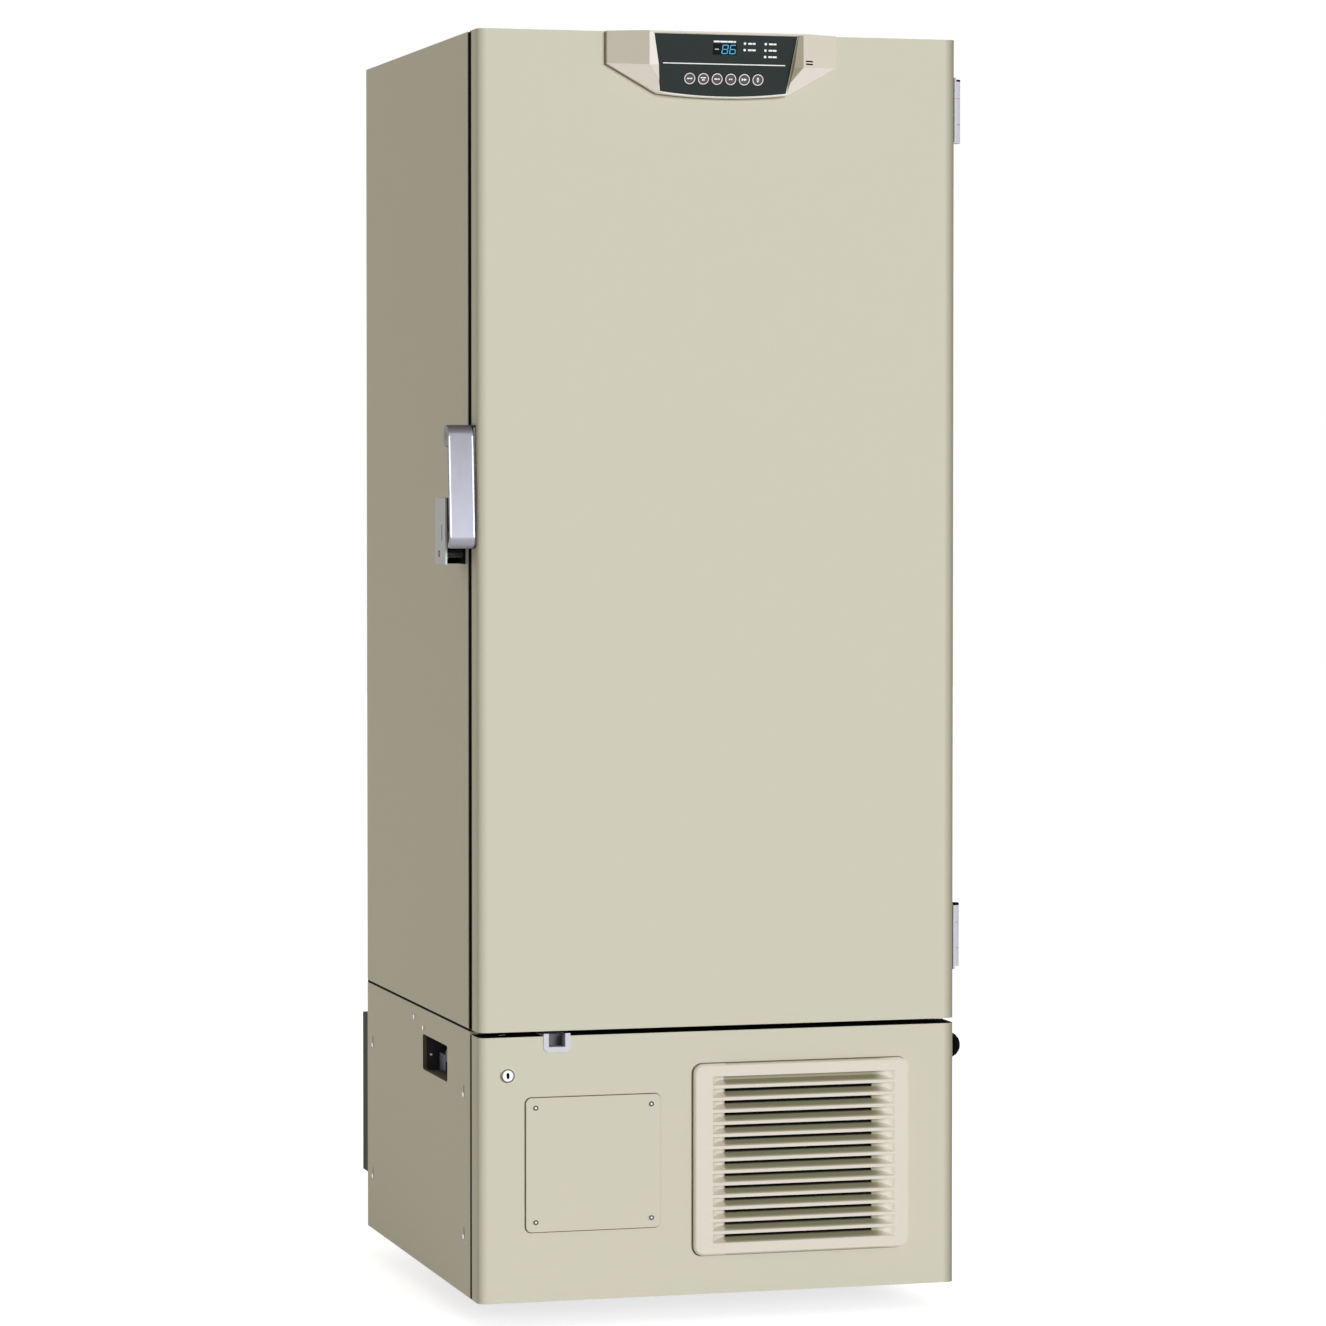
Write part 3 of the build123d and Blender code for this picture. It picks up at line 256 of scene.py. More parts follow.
def linear(channel):
    """One sRGB channel, 0 to 255, as linear light, by the formula of the sRGB standard."""
    value = channel / 255
    if value <= 0.04045:
        return value / 12.92
    return ((value + 0.055) / 1.055) ** 2.4


def colour(red, green, blue):
    return (linear(red), linear(green), linear(blue), 1.0)


def scaled(rgba, factor):
    return (min(1, rgba[0] * factor), min(1, rgba[1] * factor), min(1, rgba[2] * factor), 1.0)


def box_of(name):
    """The low and high corners of a solid in the shared frame."""
    corners = [nodes[name].matrix_world @ Vector(corner) for corner in nodes[name].bound_box]
    low = [min(corner[axis] for corner in corners) for axis in range(3)]
    high = [max(corner[axis] for corner in corners) for axis in range(3)]
    return low, high


def finish(name, rgba, rough, grain, spread, metal=0.0, bump=0.0, stretch=(1, 1, 1), shine=0.5):
    """A finish whose colour, roughness and relief vary with fine noise."""
    material = bpy.data.materials.new(name)
    material.use_nodes = True
    tree = material.node_tree
    shader = tree.nodes["Principled BSDF"]
    place = tree.nodes.new("ShaderNodeTexCoord")
    mapping = tree.nodes.new("ShaderNodeMapping")
    mapping.inputs["Scale"].default_value = stretch
    noise = tree.nodes.new("ShaderNodeTexNoise")
    noise.inputs["Scale"].default_value = grain
    noise.inputs["Detail"].default_value = noise_detail
    mix = tree.nodes.new("ShaderNodeMix")
    mix.data_type = "RGBA"
    mix.inputs["A"].default_value = scaled(rgba, 1 - spread)
    mix.inputs["B"].default_value = scaled(rgba, 1 + spread)
    span = tree.nodes.new("ShaderNodeMapRange")
    span.inputs["To Min"].default_value = max(0.0, rough - rough_spread)
    span.inputs["To Max"].default_value = min(1.0, rough + rough_spread)
    tree.links.new(place.outputs["Object"], mapping.inputs["Vector"])
    tree.links.new(mapping.outputs["Vector"], noise.inputs["Vector"])
    tree.links.new(noise.outputs["Fac"], mix.inputs["Factor"])
    tree.links.new(noise.outputs["Fac"], span.inputs["Value"])
    tree.links.new(mix.outputs["Result"], shader.inputs["Base Color"])
    tree.links.new(span.outputs["Result"], shader.inputs["Roughness"])
    shader.inputs["Metallic"].default_value = metal
    shader.inputs["Specular IOR Level"].default_value = shine
    if bump:
        relief = tree.nodes.new("ShaderNodeBump")
        relief.inputs["Strength"].default_value = bump
        relief.inputs["Distance"].default_value = relief_height
        tree.links.new(noise.outputs["Fac"], relief.inputs["Height"])
        tree.links.new(relief.outputs["Normal"], shader.inputs["Normal"])
    return material


def glow(name, rgba, strength):
    """A lit segment, or pale print with a glow of painted light: its own colour with a little light of its
    own.
    """
    material = finish(name, rgba, rough=0.4, grain=900, spread=0.08)
    shader = material.node_tree.nodes["Principled BSDF"]
    shader.inputs["Emission Color"].default_value = rgba
    shader.inputs["Emission Strength"].default_value = strength
    return material


def after(edge, span):
    """A span's two marks, counted up from an edge."""
    return edge + span[0], edge + span[1]


def before(edge, span):
    """A span's two marks, counted down from an edge."""
    return edge - span[0], edge - span[1]


def ramp(tree, value, marks):
    """0 where the value is at or before the first mark, 1 at the second, even between."""
    span = tree.nodes.new("ShaderNodeMapRange")
    span.inputs["From Min"].default_value = marks[0]
    span.inputs["From Max"].default_value = marks[1]
    tree.links.new(value, span.inputs["Value"])
    return span.outputs["Result"]


def one_axis(tree, kind, axis):
    """One axis of what the texture coordinate node gives, in the object's own coordinates."""
    parts = tree.nodes.new("ShaderNodeSeparateXYZ")
    tree.links.new(tree.nodes["Texture Coordinate"].outputs[kind], parts.inputs["Vector"])
    return parts.outputs[axis]


def place_of(tree, axis):
    """A point's place along one axis."""
    return one_axis(tree, "Object", axis)


def facing(tree, axis):
    """How far the surface faces along one axis."""
    return one_axis(tree, "Normal", axis)


def times(tree, first, second):
    both = tree.nodes.new("ShaderNodeMath")
    both.operation = "MULTIPLY"
    tree.links.new(first, both.inputs[0])
    tree.links.new(second, both.inputs[1])
    return both.outputs["Value"]


def overlay(material, share, rgba):
    """Lays a colour over a finish by a share that varies over the surface."""
    tree = material.node_tree
    shader = tree.nodes["Principled BSDF"]
    under = shader.inputs["Base Color"].links[0].from_socket
    mix = tree.nodes.new("ShaderNodeMix")
    mix.data_type = "RGBA"
    mix.inputs["B"].default_value = rgba
    tree.links.new(share, mix.inputs["Factor"])
    tree.links.new(under, mix.inputs["A"])
    tree.links.new(mix.outputs["Result"], shader.inputs["Base Color"])


def louvre_shade(material, deep, light, end_light):
    """Painted shade that grows with depth in the grille's scoops, and painted light at their right ends."""
    low, high = box_of("grille")
    tree = material.node_tree
    across = place_of(tree, "X")
    depth = ramp(tree, place_of(tree, "Y"), after(low[1], scoop_depth))
    left = ramp(tree, across, after(low[0], scoop_left))
    right = ramp(tree, across, before(high[0], scoop_right))
    overlay(material, times(tree, depth, times(tree, left, right)), deep)
    end = ramp(tree, across, before(high[0], scoop_end))
    overlay(material, times(tree, depth, end), light)
    overlay(material, times(tree, end, ramp(tree, facing(tree, "X"), scoop_end_facing)), end_light)


def lever_shade(material, top, upper):
    """Painted shade and painted reflection: the lever darkens upwards, and most where its barrel faces up.
    """
    low, high = box_of("door_lever")
    tree = material.node_tree
    overlay(material, ramp(tree, place_of(tree, "Z"), (low[2], high[2])), upper)
    overlay(material, ramp(tree, facing(tree, "Z"), lever_top_facing), top)


def edge_shade(material, rgba):
    """The rounded right edges of the door and the front panel darken as they turn away."""
    low, high = box_of("door_skin")
    tree = material.node_tree
    across = ramp(tree, place_of(tree, "X"), before(high[0], edge_across))
    front = ramp(tree, place_of(tree, "Y"), after(low[1], edge_front))
    overlay(material, times(tree, across, front), rgba)


def wing_shade(material, left, below_light):
    """Painted shade on the housing's left wing, and painted light on its facets that face down."""
    tree = material.node_tree
    overlay(material, ramp(tree, facing(tree, "X"), wing_facing), left)
    overlay(material, ramp(tree, facing(tree, "Z"), wing_facing), below_light)


def recess_shade(material, rgba):
    """Painted shade: the finger recess darkens towards its back."""
    low, high = box_of("finger_recess")
    tree = material.node_tree
    overlay(material, ramp(tree, place_of(tree, "Y"), (low[1] + recess_start, high[1])), rgba)


# Paint and plastic of the outside
body_colour = colour(208, 204, 184)
body_coat = {"rough": 0.5, "grain": 900, "spread": 0.015, "bump": 0.05, "shine": 0.12}
paint = finish("body_paint", body_colour, **body_coat)
front_paint = finish("front_paint", body_colour, **body_coat)
edge_shade(front_paint, colour(142, 137, 120))
housing = finish("housing_plastic", colour(213, 205, 189), rough=0.5, grain=1400, spread=0.02, bump=0.08)
wing_shade(housing, left=colour(200, 191, 174), below_light=colour(238, 232, 222))
louvre = finish("louvre_plastic", colour(217, 209, 193), rough=0.5, grain=1400, spread=0.02, bump=0.05)
louvre_shade(louvre, deep=colour(152, 148, 118), light=colour(241, 233, 216),
             end_light=colour(254, 248, 234))

# Dark face, display and keys
dark = finish("dark_film", colour(43, 50, 48), rough=0.45, grain=1200, spread=0.06, shine=0.1)
glass = finish("display_glass", colour(5, 10, 14), rough=0.3, grain=500, spread=0.15, shine=0.1)
lamp = glow("lamp_lens", colour(235, 238, 235), 0.15)
key_cap = finish("key_cap", colour(62, 54, 53), rough=0.45, grain=1500, spread=0.08)
# The key rings and the panel's print glow a little: painted light
key_ring = glow("key_ring", colour(234, 226, 224), 0.12)
mark = glow("panel_print", colour(240, 242, 240), 0.1)
digit = glow("digit_blue", colour(64, 158, 204), 0.3)
dash = glow("digit_dim", colour(178, 190, 198), 0.1)

# Metal of the lever, hinges and strike
lever = finish("lever_metal", colour(159, 157, 168), rough=0.45, grain=400, spread=0.05, metal=0.2,
               stretch=lengthwise)
lever_shade(lever, top=colour(80, 76, 80), upper=colour(114, 111, 119))
steel = finish("bright_steel", colour(198, 197, 204), rough=0.6, grain=500, spread=0.06, metal=0.1,
               stretch=lengthwise, shine=0.15)
# A bright finish for painted highlights, on the lever's edges and the lock's face
edge = finish("painted_edge_highlight", colour(246, 246, 250), rough=0.3, grain=700, spread=0.02)
strike = finish("strike_steel", colour(182, 185, 188), rough=0.5, grain=500, spread=0.06, metal=0.2,
                stretch=lengthwise)

# Painted shade, painted shadow lines, painted highlights, and bevels with painted light and shade
shade = finish("deep_shade", colour(7, 6, 6), rough=0.95, grain=700, spread=0.2, shine=0.05)
# Colour of painted shadow lines along edges that cast shade
shadow_line = finish("painted_shadow_line", colour(104, 92, 68), rough=0.8, grain=900, spread=0.1)
# A dark finish for painted shade in slots, hollows and folds
keyhole = finish("keyhole_shade", colour(96, 88, 74), rough=0.8, grain=900, spread=0.1)
face_highlight = finish("painted_face_highlight", colour(240, 238, 230), rough=0.4, grain=900, spread=0.02)
lit_bevel = finish("bevel_light", colour(229, 223, 212), rough=0.5, grain=900, spread=0.02)
shaded_bevel = finish("bevel_shade", colour(152, 145, 121), rough=0.6, grain=900, spread=0.03)

# Finger recess, switch and rubber
recess = finish("recess_plastic", colour(205, 203, 211), rough=0.5, grain=1200, spread=0.02)
recess_shade(recess, colour(70, 68, 78))
switch = finish("switch_plastic", colour(86, 91, 110), rough=0.4, grain=900, spread=0.06)
rubber = finish("black_rubber", colour(5, 5, 5), rough=0.85, grain=700, spread=0.15, bump=0.1, shine=0.04)
black = finish("black_plastic", colour(32, 32, 34), rough=0.5, grain=900, spread=0.12, bump=0.05)

# Inside of the chamber and the door
foam = finish("rigid_foam", colour(226, 208, 150), rough=0.9, grain=350, spread=0.08, bump=0.4)
liner = finish("liner_paint", colour(224, 226, 226), rough=0.35, grain=800, spread=0.02)
strip = finish("strip_plastic", colour(165, 163, 156), rough=0.5, grain=900, spread=0.03)
inner = finish("inner_door_plastic", colour(232, 234, 235), rough=0.45, grain=900, spread=0.02, bump=0.05)

# Lower part: filter, lock, frame and machinery
mesh = finish("filter_mesh", colour(12, 12, 11), rough=0.9, grain=2600, spread=0.5, bump=0.5, shine=0.1)
chrome = finish("chrome_trim", colour(214, 214, 218), rough=0.16, grain=600, spread=0.04, metal=1.0)
dark_paint = finish("dark_paint", colour(88, 90, 90), rough=0.8, grain=900, spread=0.05, bump=0.05,
                    shine=0.1)
fin_metal = finish("fin_metal", colour(190, 190, 190), rough=0.4, grain=900, spread=0.1, metal=0.9,
                   stretch=crosswise)
compressor = finish("black_paint", colour(22, 22, 22), rough=0.4, grain=700, spread=0.15)
# The lock bolt is darkened as painted shade, for it sits in the dark gap between the door and the front
# panel
bolt_shade = finish("painted_shade_bolt", colour(12, 12, 13), rough=0.85, grain=900, spread=0.15, shine=0.04)
tread = finish("wheel_tread", colour(40, 40, 41), rough=0.7, grain=900, spread=0.15, bump=0.1)

# Which solids wear which finish
worn = {
    paint: ("cabinet_shell", "side_covers", "recorder_plate"),
    front_paint: ("door_skin", "front_panel"),
    housing: ("control_housing",),
    louvre: ("grille",),
    recess: ("finger_recess",),
    dark: ("display_panel",),
    glass: ("display_module",),
    lamp: ("indicator_lamps",),
    key_cap: tuple(f"key_{number}" for number in range(1, key_count + 1)),
    lever: ("door_lever",),
    steel: ("door_hinge_leaves", "cabinet_hinges", "latch_pawl", "inner_hinge_brackets", "shelves"),
    strike: ("strike_bracket",),
    rubber: ("door_gasket", "side_bumper", "left_foot", "right_foot"),
    black: ("strike_roller", "fan_blade", "fan_shroud", "switch_box", "power_inlet"),
    foam: ("door_insulation", "cabinet_insulation"),
    liner: ("inner_liner", "door_inner_panel"),
    strip: ("breaker_strip", "access_port"),
    inner: ("lower_inner_door", "upper_inner_door"),
    mesh: ("air_filter",),
    chrome: ("lock_body", "lock_cylinder", "cover_screws"),
    dark_paint: ("rear_cover", "base_frame", "electrical_box", "left_front_fork", "right_front_fork"),
    fin_metal: ("condenser", "fan_motor"),
    # The handle's base wears black paint as painted shade in the gap beside the lever
    compressor: ("compressors", "handle_base"),
    bolt_shade: ("lock_bolt",),
    switch: ("breaker_rocker",),
    tread: ("left_front_wheel", "right_front_wheel", "left_rear_wheel", "right_rear_wheel"),
}
for material, names in worn.items():
    for name in names:
        nodes[name].data.materials.clear()
        nodes[name].data.materials.append(material)


def on_face(x, y, height):
    """A point over the tilted dark face, from the face's middle."""
    up_y, up_z = -math.sin(face_tilt), math.cos(face_tilt)
    out_y, out_z = -math.cos(face_tilt), -math.sin(face_tilt)
    across = face_mid[0] + x
    return (across, face_mid[1] + y * up_y + height * out_y, face_mid[2] + y * up_z + height * out_z)


def face_at(height):
    """Where a flat outline lands at a height over the dark face."""
    return lambda a, b: on_face(a, b, height)


def front_at(y):
    """Where a flat outline lands on a plane that faces the front."""
    return lambda a, b: (a, y, b)


def side_at(x):
    """Where a flat outline lands on a plane that faces a side."""
    return lambda a, b: (x, a, b)


def top_at(z):
    """Where a flat outline lands on a plane that faces up."""
    return lambda a, b: (a, b, z)


def piece(name, points, faces, material, body):
    """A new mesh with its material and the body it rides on."""
    data = bpy.data.meshes.new(name)
    data.from_pydata(points, [], faces)
    data.materials.append(material)
    made = bpy.data.objects.new(name, data)
    bpy.context.scene.collection.objects.link(made)
    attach(made, body)
    return made


def flat_shapes(name, outlines, place, material, body):
    """Thin shapes from flat outlines."""
    points = []
    faces = []
    for outline in outlines:
        start = len(points)
        points.extend(place(a, b) for a, b in outline)
        faces.append(tuple(range(start, start + len(outline))))
    return piece(name, points, faces, material, body)


def bands(name, pairs, place, material, body):
    """Thin closed bands, each between an outer and an inner outline with equally many points."""
    points = []
    faces = []
    for outer, inside in pairs:
        start = len(points)
        count = len(outer)
        points.extend(place(a, b) for a, b in outer + inside)
        for k in range(count):
            follow = (k + 1) % count
            faces.append((start + k, start + follow, start + count + follow, start + count + k))
    return piece(name, points, faces, material, body)


def blocks(name, boxes, material, body):
    """Plain blocks, each from its low and high corner."""
    points = []
    faces = []
    sides = ((0, 1, 3, 2), (4, 6, 7, 5), (0, 4, 5, 1), (2, 3, 7, 6), (0, 2, 6, 4), (1, 5, 7, 3))
    for low, high in boxes:
        start = len(points)
        xs, ys, zs = zip(low, high)
        points.extend((x, y, z) for x in xs for y in ys for z in zs)
        faces.extend(tuple(start + corner for corner in side) for side in sides)
    return piece(name, points, faces, material, body)


def sleeve(name, near, far, material, body, closed=False):
    """A thin wall between two outlines with equally many points, with the far end closed if asked."""
    count = len(near)
    faces = [(k, (k + 1) % count, count + (k + 1) % count, count + k) for k in range(count)]
    if closed:
        faces.append(tuple(range(count, 2 * count)))
    return piece(name, near + far, faces, material, body)


def shifted(outline, x, y):
    return [(x + a, y + b) for a, b in outline]


def bar(x0, x1, y0, y1, lean=0.0):
    """A straight stroke that may lean to the right."""
    return [(x0 + lean * y0, y0), (x1 + lean * y0, y0), (x1 + lean * y1, y1), (x0 + lean * y1, y1)]


def dashes(x, y, widths, tall):
    """A row of short strokes in place of lettering."""
    row = []
    for width in widths:
        row.append(bar(x, x + width, y - tall / 2, y + tall / 2))
        x += width + dash_gap
    return row


def circle(radius, steps=48):
    return [(radius * math.cos(2 * math.pi * k / steps), radius * math.sin(2 * math.pi * k / steps))
            for k in range(steps)]


def ring(x, y, outer, inside):
    """The outer and the inner outline of a round band."""
    return shifted(circle(outer), x, y), shifted(circle(inside), x, y)


def rounded(low, high, radius, grow, steps=8):
    """A rectangle with round corners, grown on all sides."""
    reach = radius + grow
    turns = ((high[0] - radius, high[1] - radius), (low[0] + radius, high[1] - radius),
             (low[0] + radius, low[1] + radius), (high[0] - radius, low[1] + radius))
    outline = []
    for quarter, (a, b) in enumerate(turns):
        for step in range(steps + 1):
            angle = math.pi / 2 * (quarter + step / steps)
            outline.append((a + reach * math.cos(angle), b + reach * math.sin(angle)))
    return outline


def hanging(half, drop, sag, steps):
    """Points from right to left along an edge that hangs down in its middle."""
    points = []
    for step in steps:
        share = 1 - 2 * step / curve_steps
        points.append((share * half, -drop - sag * (1 - share * share)))
    return points


def corner_arc(x, y, start):
    """A quarter circle in plan round a corner's middle."""
    reach = corner_radius - strip_inset
    points = []
    for step in range(corner_steps + 1):
        angle = math.radians(start + 90 / corner_steps * step)
        points.append((x + reach * math.cos(angle), y + reach * math.sin(angle)))
    return points


def segments(lit):
    """The lit strokes of a seven-segment digit, leaning to the right."""
    left = (-digit_half - stroke_half, -digit_half + stroke_half)
    right = (digit_half - stroke_half, digit_half + stroke_half)
    level = (-digit_half + stroke_cut, digit_half - stroke_cut)
    upper = (stroke_cut, digit_tall - stroke_cut)
    lower = (-digit_tall + stroke_cut, -stroke_cut)
    strokes = {
        "a": bar(*level, digit_tall - 2 * stroke_half, digit_tall, digit_lean),
        "g": bar(*level, -stroke_half, stroke_half, digit_lean),
        "d": bar(*level, -digit_tall, -digit_tall + 2 * stroke_half, digit_lean),
        "f": bar(*left, *upper, digit_lean),
        "b": bar(*right, *upper, digit_lean),
        "e": bar(*left, *lower, digit_lean),
        "c": bar(*right, *lower, digit_lean),
    }
    return [strokes[letter] for letter in lit]


def arrow_right(x):
    """A triangle that points right from a place."""
    return [(x, -arrow_half), (x + arrow_long, 0.0), (x, arrow_half)]


def face_edge(inset):
    """The dark face's outline, moved inwards."""
    top = face_half_run - inset
    bottom_half = face_bottom_half - inset
    top_half = face_top_half - inset
    outline = [(-bottom_half, -top), (-top_half, top), (top_half, top), (bottom_half, -top)]
    return outline + hanging(bottom_half, top, face_sag, range(1, curve_steps))


def beside_face(drop):
    """Half the dark face's width at a distance under the top."""
    return face_top_half - face_taper * (drop - face_top_drop)


# Digits on the display
eight = [shifted(stroke, display_x + eight_x, display_y) for stroke in segments("abcdefg")]
six = [shifted(stroke, display_x + six_x, display_y) for stroke in segments("acdefg")]
flat_shapes("display_digits", eight + six, face_at(film / 2), digit, "door")
minus = bar(display_x + minus_left, display_x + minus_right, display_y - minus_half, display_y + minus_half)
flat_shapes("display_minus", [minus], face_at(film / 2), dash, "door")

# Rule and labels on the dark face
rule = bar(rule_left, rule_right, rule_low, rule_high)
flat_shapes("panel_rule", [rule], face_at(film / 2), mark, "door")
labels = dashes(display_x + title_x, display_y + title_y, title_widths, label_tall)
for column, lamps in lamp_columns:
    for number in range(lamps):
        widths = (lamp_label_first, lamp_label_second + lamp_label_growth * number)
        labels += dashes(column + lamp_label_x, lamp_row - lamp_pitch * number, widths, label_tall)
flat_shapes("panel_labels", labels, face_at(film / 2), mark, "door")

# Rings and signs on the keys: strokes on four of them and arrows on two
arrow_up = [(-arrow_half, arrow_gap), (arrow_half, arrow_gap), (0.0, arrow_tip)]
arrow_down = [(-arrow_half, -arrow_gap), (0.0, -arrow_tip), (arrow_half, -arrow_gap)]
key_signs = [[stroke for row in rows for stroke in dashes(*row)] for rows in key_strokes]
key_signs.append([arrow_right(-arrow_long), arrow_right(0.0)])
key_signs.append([arrow_up, arrow_down])
for number in range(key_count):
    x = key_pitch * (number - (key_count - 1) / 2)
    body = f"key_{number + 1}"
    pair = ring(x, key_row, key_radius - film / 2, key_dish)
    bands(f"key_ring_{number + 1}", [pair], face_at(key_ring_height), key_ring, body)
    signs = [shifted(outline, x, key_row) for outline in key_signs[number]]
    flat_shapes(f"key_sign_{number + 1}", signs, face_at(key_sign_height), mark, body)

# Painted highlight: a white line round the dark face, the highlight of the housing's edge
bands("face_edge_highlight", [(face_edge(0.0), face_edge(highlight_width))], face_at(film), face_highlight, "door")

# Bevels beside the dark face, with painted light on the left and painted shade on the right
top_z = box_of("control_housing")[1][2]
bevel_corners = (
    (beside_face(face_top_drop), ridge_proud, face_top_drop),
    (ridge_half, ridge_proud, face_top_drop),
    (ridge_half, ridge_proud, ridge_drop),
    (beside_face(ridge_drop), ridge_proud, ridge_drop),
    (beside_face(fold_drop), fold_proud, fold_drop),
)
for name, side, material in (("left_bevel", -1, lit_bevel), ("right_bevel", 1, shaded_bevel)):
    points = [(shift_x + side * x, shift_y - proud - film, top_z - drop) for x, proud, drop in bevel_corners]
    piece(name, points, [(0, 1, 2, 3), (3, 2, 4)], material, "door")

# Painted shadow of the control housing on the door, a dark line along its left and lower edges
housing_shadow_outline = [(-housing_half, -housing_side_drop), (-housing_half, -shadow_width),
           (housing_half, -shadow_width), (housing_half, -housing_side_drop)]
housing_shadow_outline += hanging(housing_bottom_half, housing_low_drop, housing_sag, range(curve_steps + 1))
flat_shapes("housing_shadow", [shifted(housing_shadow_outline, shift_x - shadow_width, top_z - shadow_shift)],
            front_at(shift_y - film), shadow_line, "door")

# Buzzer slots in the right wing, dark inside
slots = []
for row in (-0.5, 0.5):
    z = top_z - buzzer_drop + row * buzzer_pitch
    for end_x, end_z in ((-1, -1), (1, -1), (1, 1), (-1, 1)):
        across = buzzer_x + end_x * buzzer_half_long
        proud = ridge_proud - wing_slope * (across - ridge_half)
        slots.append((shift_x + across, shift_y - proud - film, z + end_z * buzzer_half_high))
piece("buzzer_shade", slots, [(0, 1, 2, 3), (4, 5, 6, 7)], shade, "door")

# Painted shadow lines round the blank plate and the grille, wider on the left, where their edges cast shade
panel_low, panel_high = box_of("front_panel")
cover_low, cover_high = box_of("side_covers")
for name, radius in shadow_radii:
    low, high = box_of(name)
    corners = ((low[0], low[2]), (high[0], high[2]))
    outer = shifted(rounded(*corners, radius, shadow_width), -shadow_shift, 0)
    inside = rounded(*corners, radius, 0.0)
    bands(f"{name}_seam", [(outer, inside)], front_at(panel_low[1] - film), shadow_line, "cabinet")

# Dark gaps beside the front panel and under the cabinet shell
shell_bottom = box_of("cabinet_shell")[0][2]
gap_x = (panel_high[0] - panel_low[0]) / 2 - gap_inset
gaps = []
for side in (-1, 1):
    x0, x1 = sorted((shift_x + side * gap_x, shift_x + side * (gap_x - gap_depth)))
    gaps.append(((x0, panel_high[1] + film, panel_low[2]), (x1, cover_low[1] - film, panel_high[2])))
    gaps.append(((x0, cover_low[1] + gap_end, cover_high[2] + film),
                 (x1, cover_high[1] - gap_end, shell_bottom - film)))
blocks("gap_shades", gaps, shade, "cabinet")

# Painted shade on the front panel's top: a dark strip round its front corners, clear of the lock bolt and
# finger recess
recess_low, recess_high = box_of("finger_recess")
bolt_low, bolt_high = box_of("lock_bolt")
strip_back = panel_high[1] - strip_inset
strip_front = panel_low[1] + strip_inset
bolt_left = bolt_low[0] - clear
bolt_right = bolt_high[0] + clear
recess_left = recess_low[0] - clear
recess_right = recess_high[0] + clear
arc_y = panel_low[1] + corner_radius
left_arc = corner_arc(panel_low[0] + corner_radius, arc_y, 180)
right_arc = corner_arc(panel_high[0] - corner_radius, arc_y, 270)
strips = [
    [(left_arc[0][0], strip_back)] + left_arc + [(bolt_left, strip_front), (bolt_left, strip_back)],
    bar(bolt_right, recess_left, strip_front, strip_back),
    bar(bolt_left, bolt_right, strip_front, bolt_low[1] - clear),
    bar(bolt_left, bolt_right, bolt_high[1] + clear, strip_back),
    [(recess_right, strip_back), (recess_right, strip_front)] + right_arc + [(right_arc[-1][0], strip_back)],
]
flat_shapes("panel_top_shade", strips, top_at(panel_high[2] + film), shade, "cabinet")

# Painted shade of the gaps behind them: black edges at the back of the door's and the front panel's sides
back_shades = (("door_back_shade", "door_skin", door_edge_width, "door"),
              ("panel_back_shade", "front_panel", panel_edge_width, "cabinet"))
for name, solid, width, body in back_shades:
    low, high = box_of(solid)
    sides = []
    for x in (low[0], high[0]):
        sides.append(((x - film, high[1] - width, low[2] + clear), (x + film, high[1], high[2] - clear)))
    blocks(name, sides, shade, body)

# Painted shade in the keyhole slots over the side covers' corner screws
holes = []
for y in (cover_low[1] + keyhole_front, cover_high[1] - keyhole_back):
    for z in (cover_high[2] - keyhole_top, cover_low[2] + keyhole_bottom):
        hole_low = (y - keyhole_half, z + keyhole_start)
        hole_high = (y + keyhole_half, z + keyhole_end)
        holes.append(rounded(hole_low, hole_high, keyhole_half, 0.0))
flat_shapes("left_keyholes", holes, side_at(cover_low[0] - film), keyhole, "cabinet")
flat_shapes("right_keyholes", holes, side_at(cover_high[0] + film), keyhole, "cabinet")

# Painted shade round the plate's screws, a dark ring on each
plate_low, plate_high = box_of("recorder_plate")
screw_face = plate_low[1] - screw_proud - film
rims = []
for x in (plate_low[0] + screw_inset, plate_high[0] - screw_inset):
    for z in (plate_low[2] + screw_inset, plate_high[2] - screw_inset):
        rims.append(ring(x, z, screw_radius, screw_socket))
bands("screw_shade_rings", rims, front_at(screw_face), keyhole, "cabinet")

# The lock: a dark ring of painted shade at its rim, a painted highlight on its face, and painted shade in
# its keyhole
lock_face = panel_low[1] - lock_proud - film
bands("lock_shade", [ring(lock_x, lock_z, *lock_shade_radii)], front_at(lock_face), keyhole, "cabinet")
bands("lock_face_highlight", [ring(lock_x, lock_z, *lock_highlight_radii)], front_at(lock_face + film), edge,
      "lock_cylinder")
keyway = rounded((lock_x - keyway_half_wide, lock_z - keyway_half_high),
                 (lock_x + keyway_half_wide, lock_z + keyway_half_high), keyway_radius, 0.0)
flat_shapes("lock_keyhole", [keyway], front_at(lock_face), shade, "lock_cylinder")

# Painted shade inside the strike channel, and a dark ring of painted shade round its pin
strike_low, strike_high = box_of("strike_bracket")
inside_x = strike_high[0] - strike_sheet
inside_y = strike_high[1] - strike_sheet
inside_corner = (inside_x - film, inside_y - film, strike_high[2])
channel = ((strike_low[0] + strike_sheet + film, inside_y - 2 * film, strike_low[2]), inside_corner)
cheek = ((inside_x - 2 * film, strike_low[1] + strike_cheek, strike_low[2]), inside_corner)
blocks("strike_shade", [channel, cheek], shade, "cabinet")
pin_shade = ring(strike_pin_y, strike_low[2] + strike_pin_rise, *strike_pin_radii)
bands("strike_pin_shade", [pin_shade], side_at(strike_low[0] - film), shade, "cabinet")

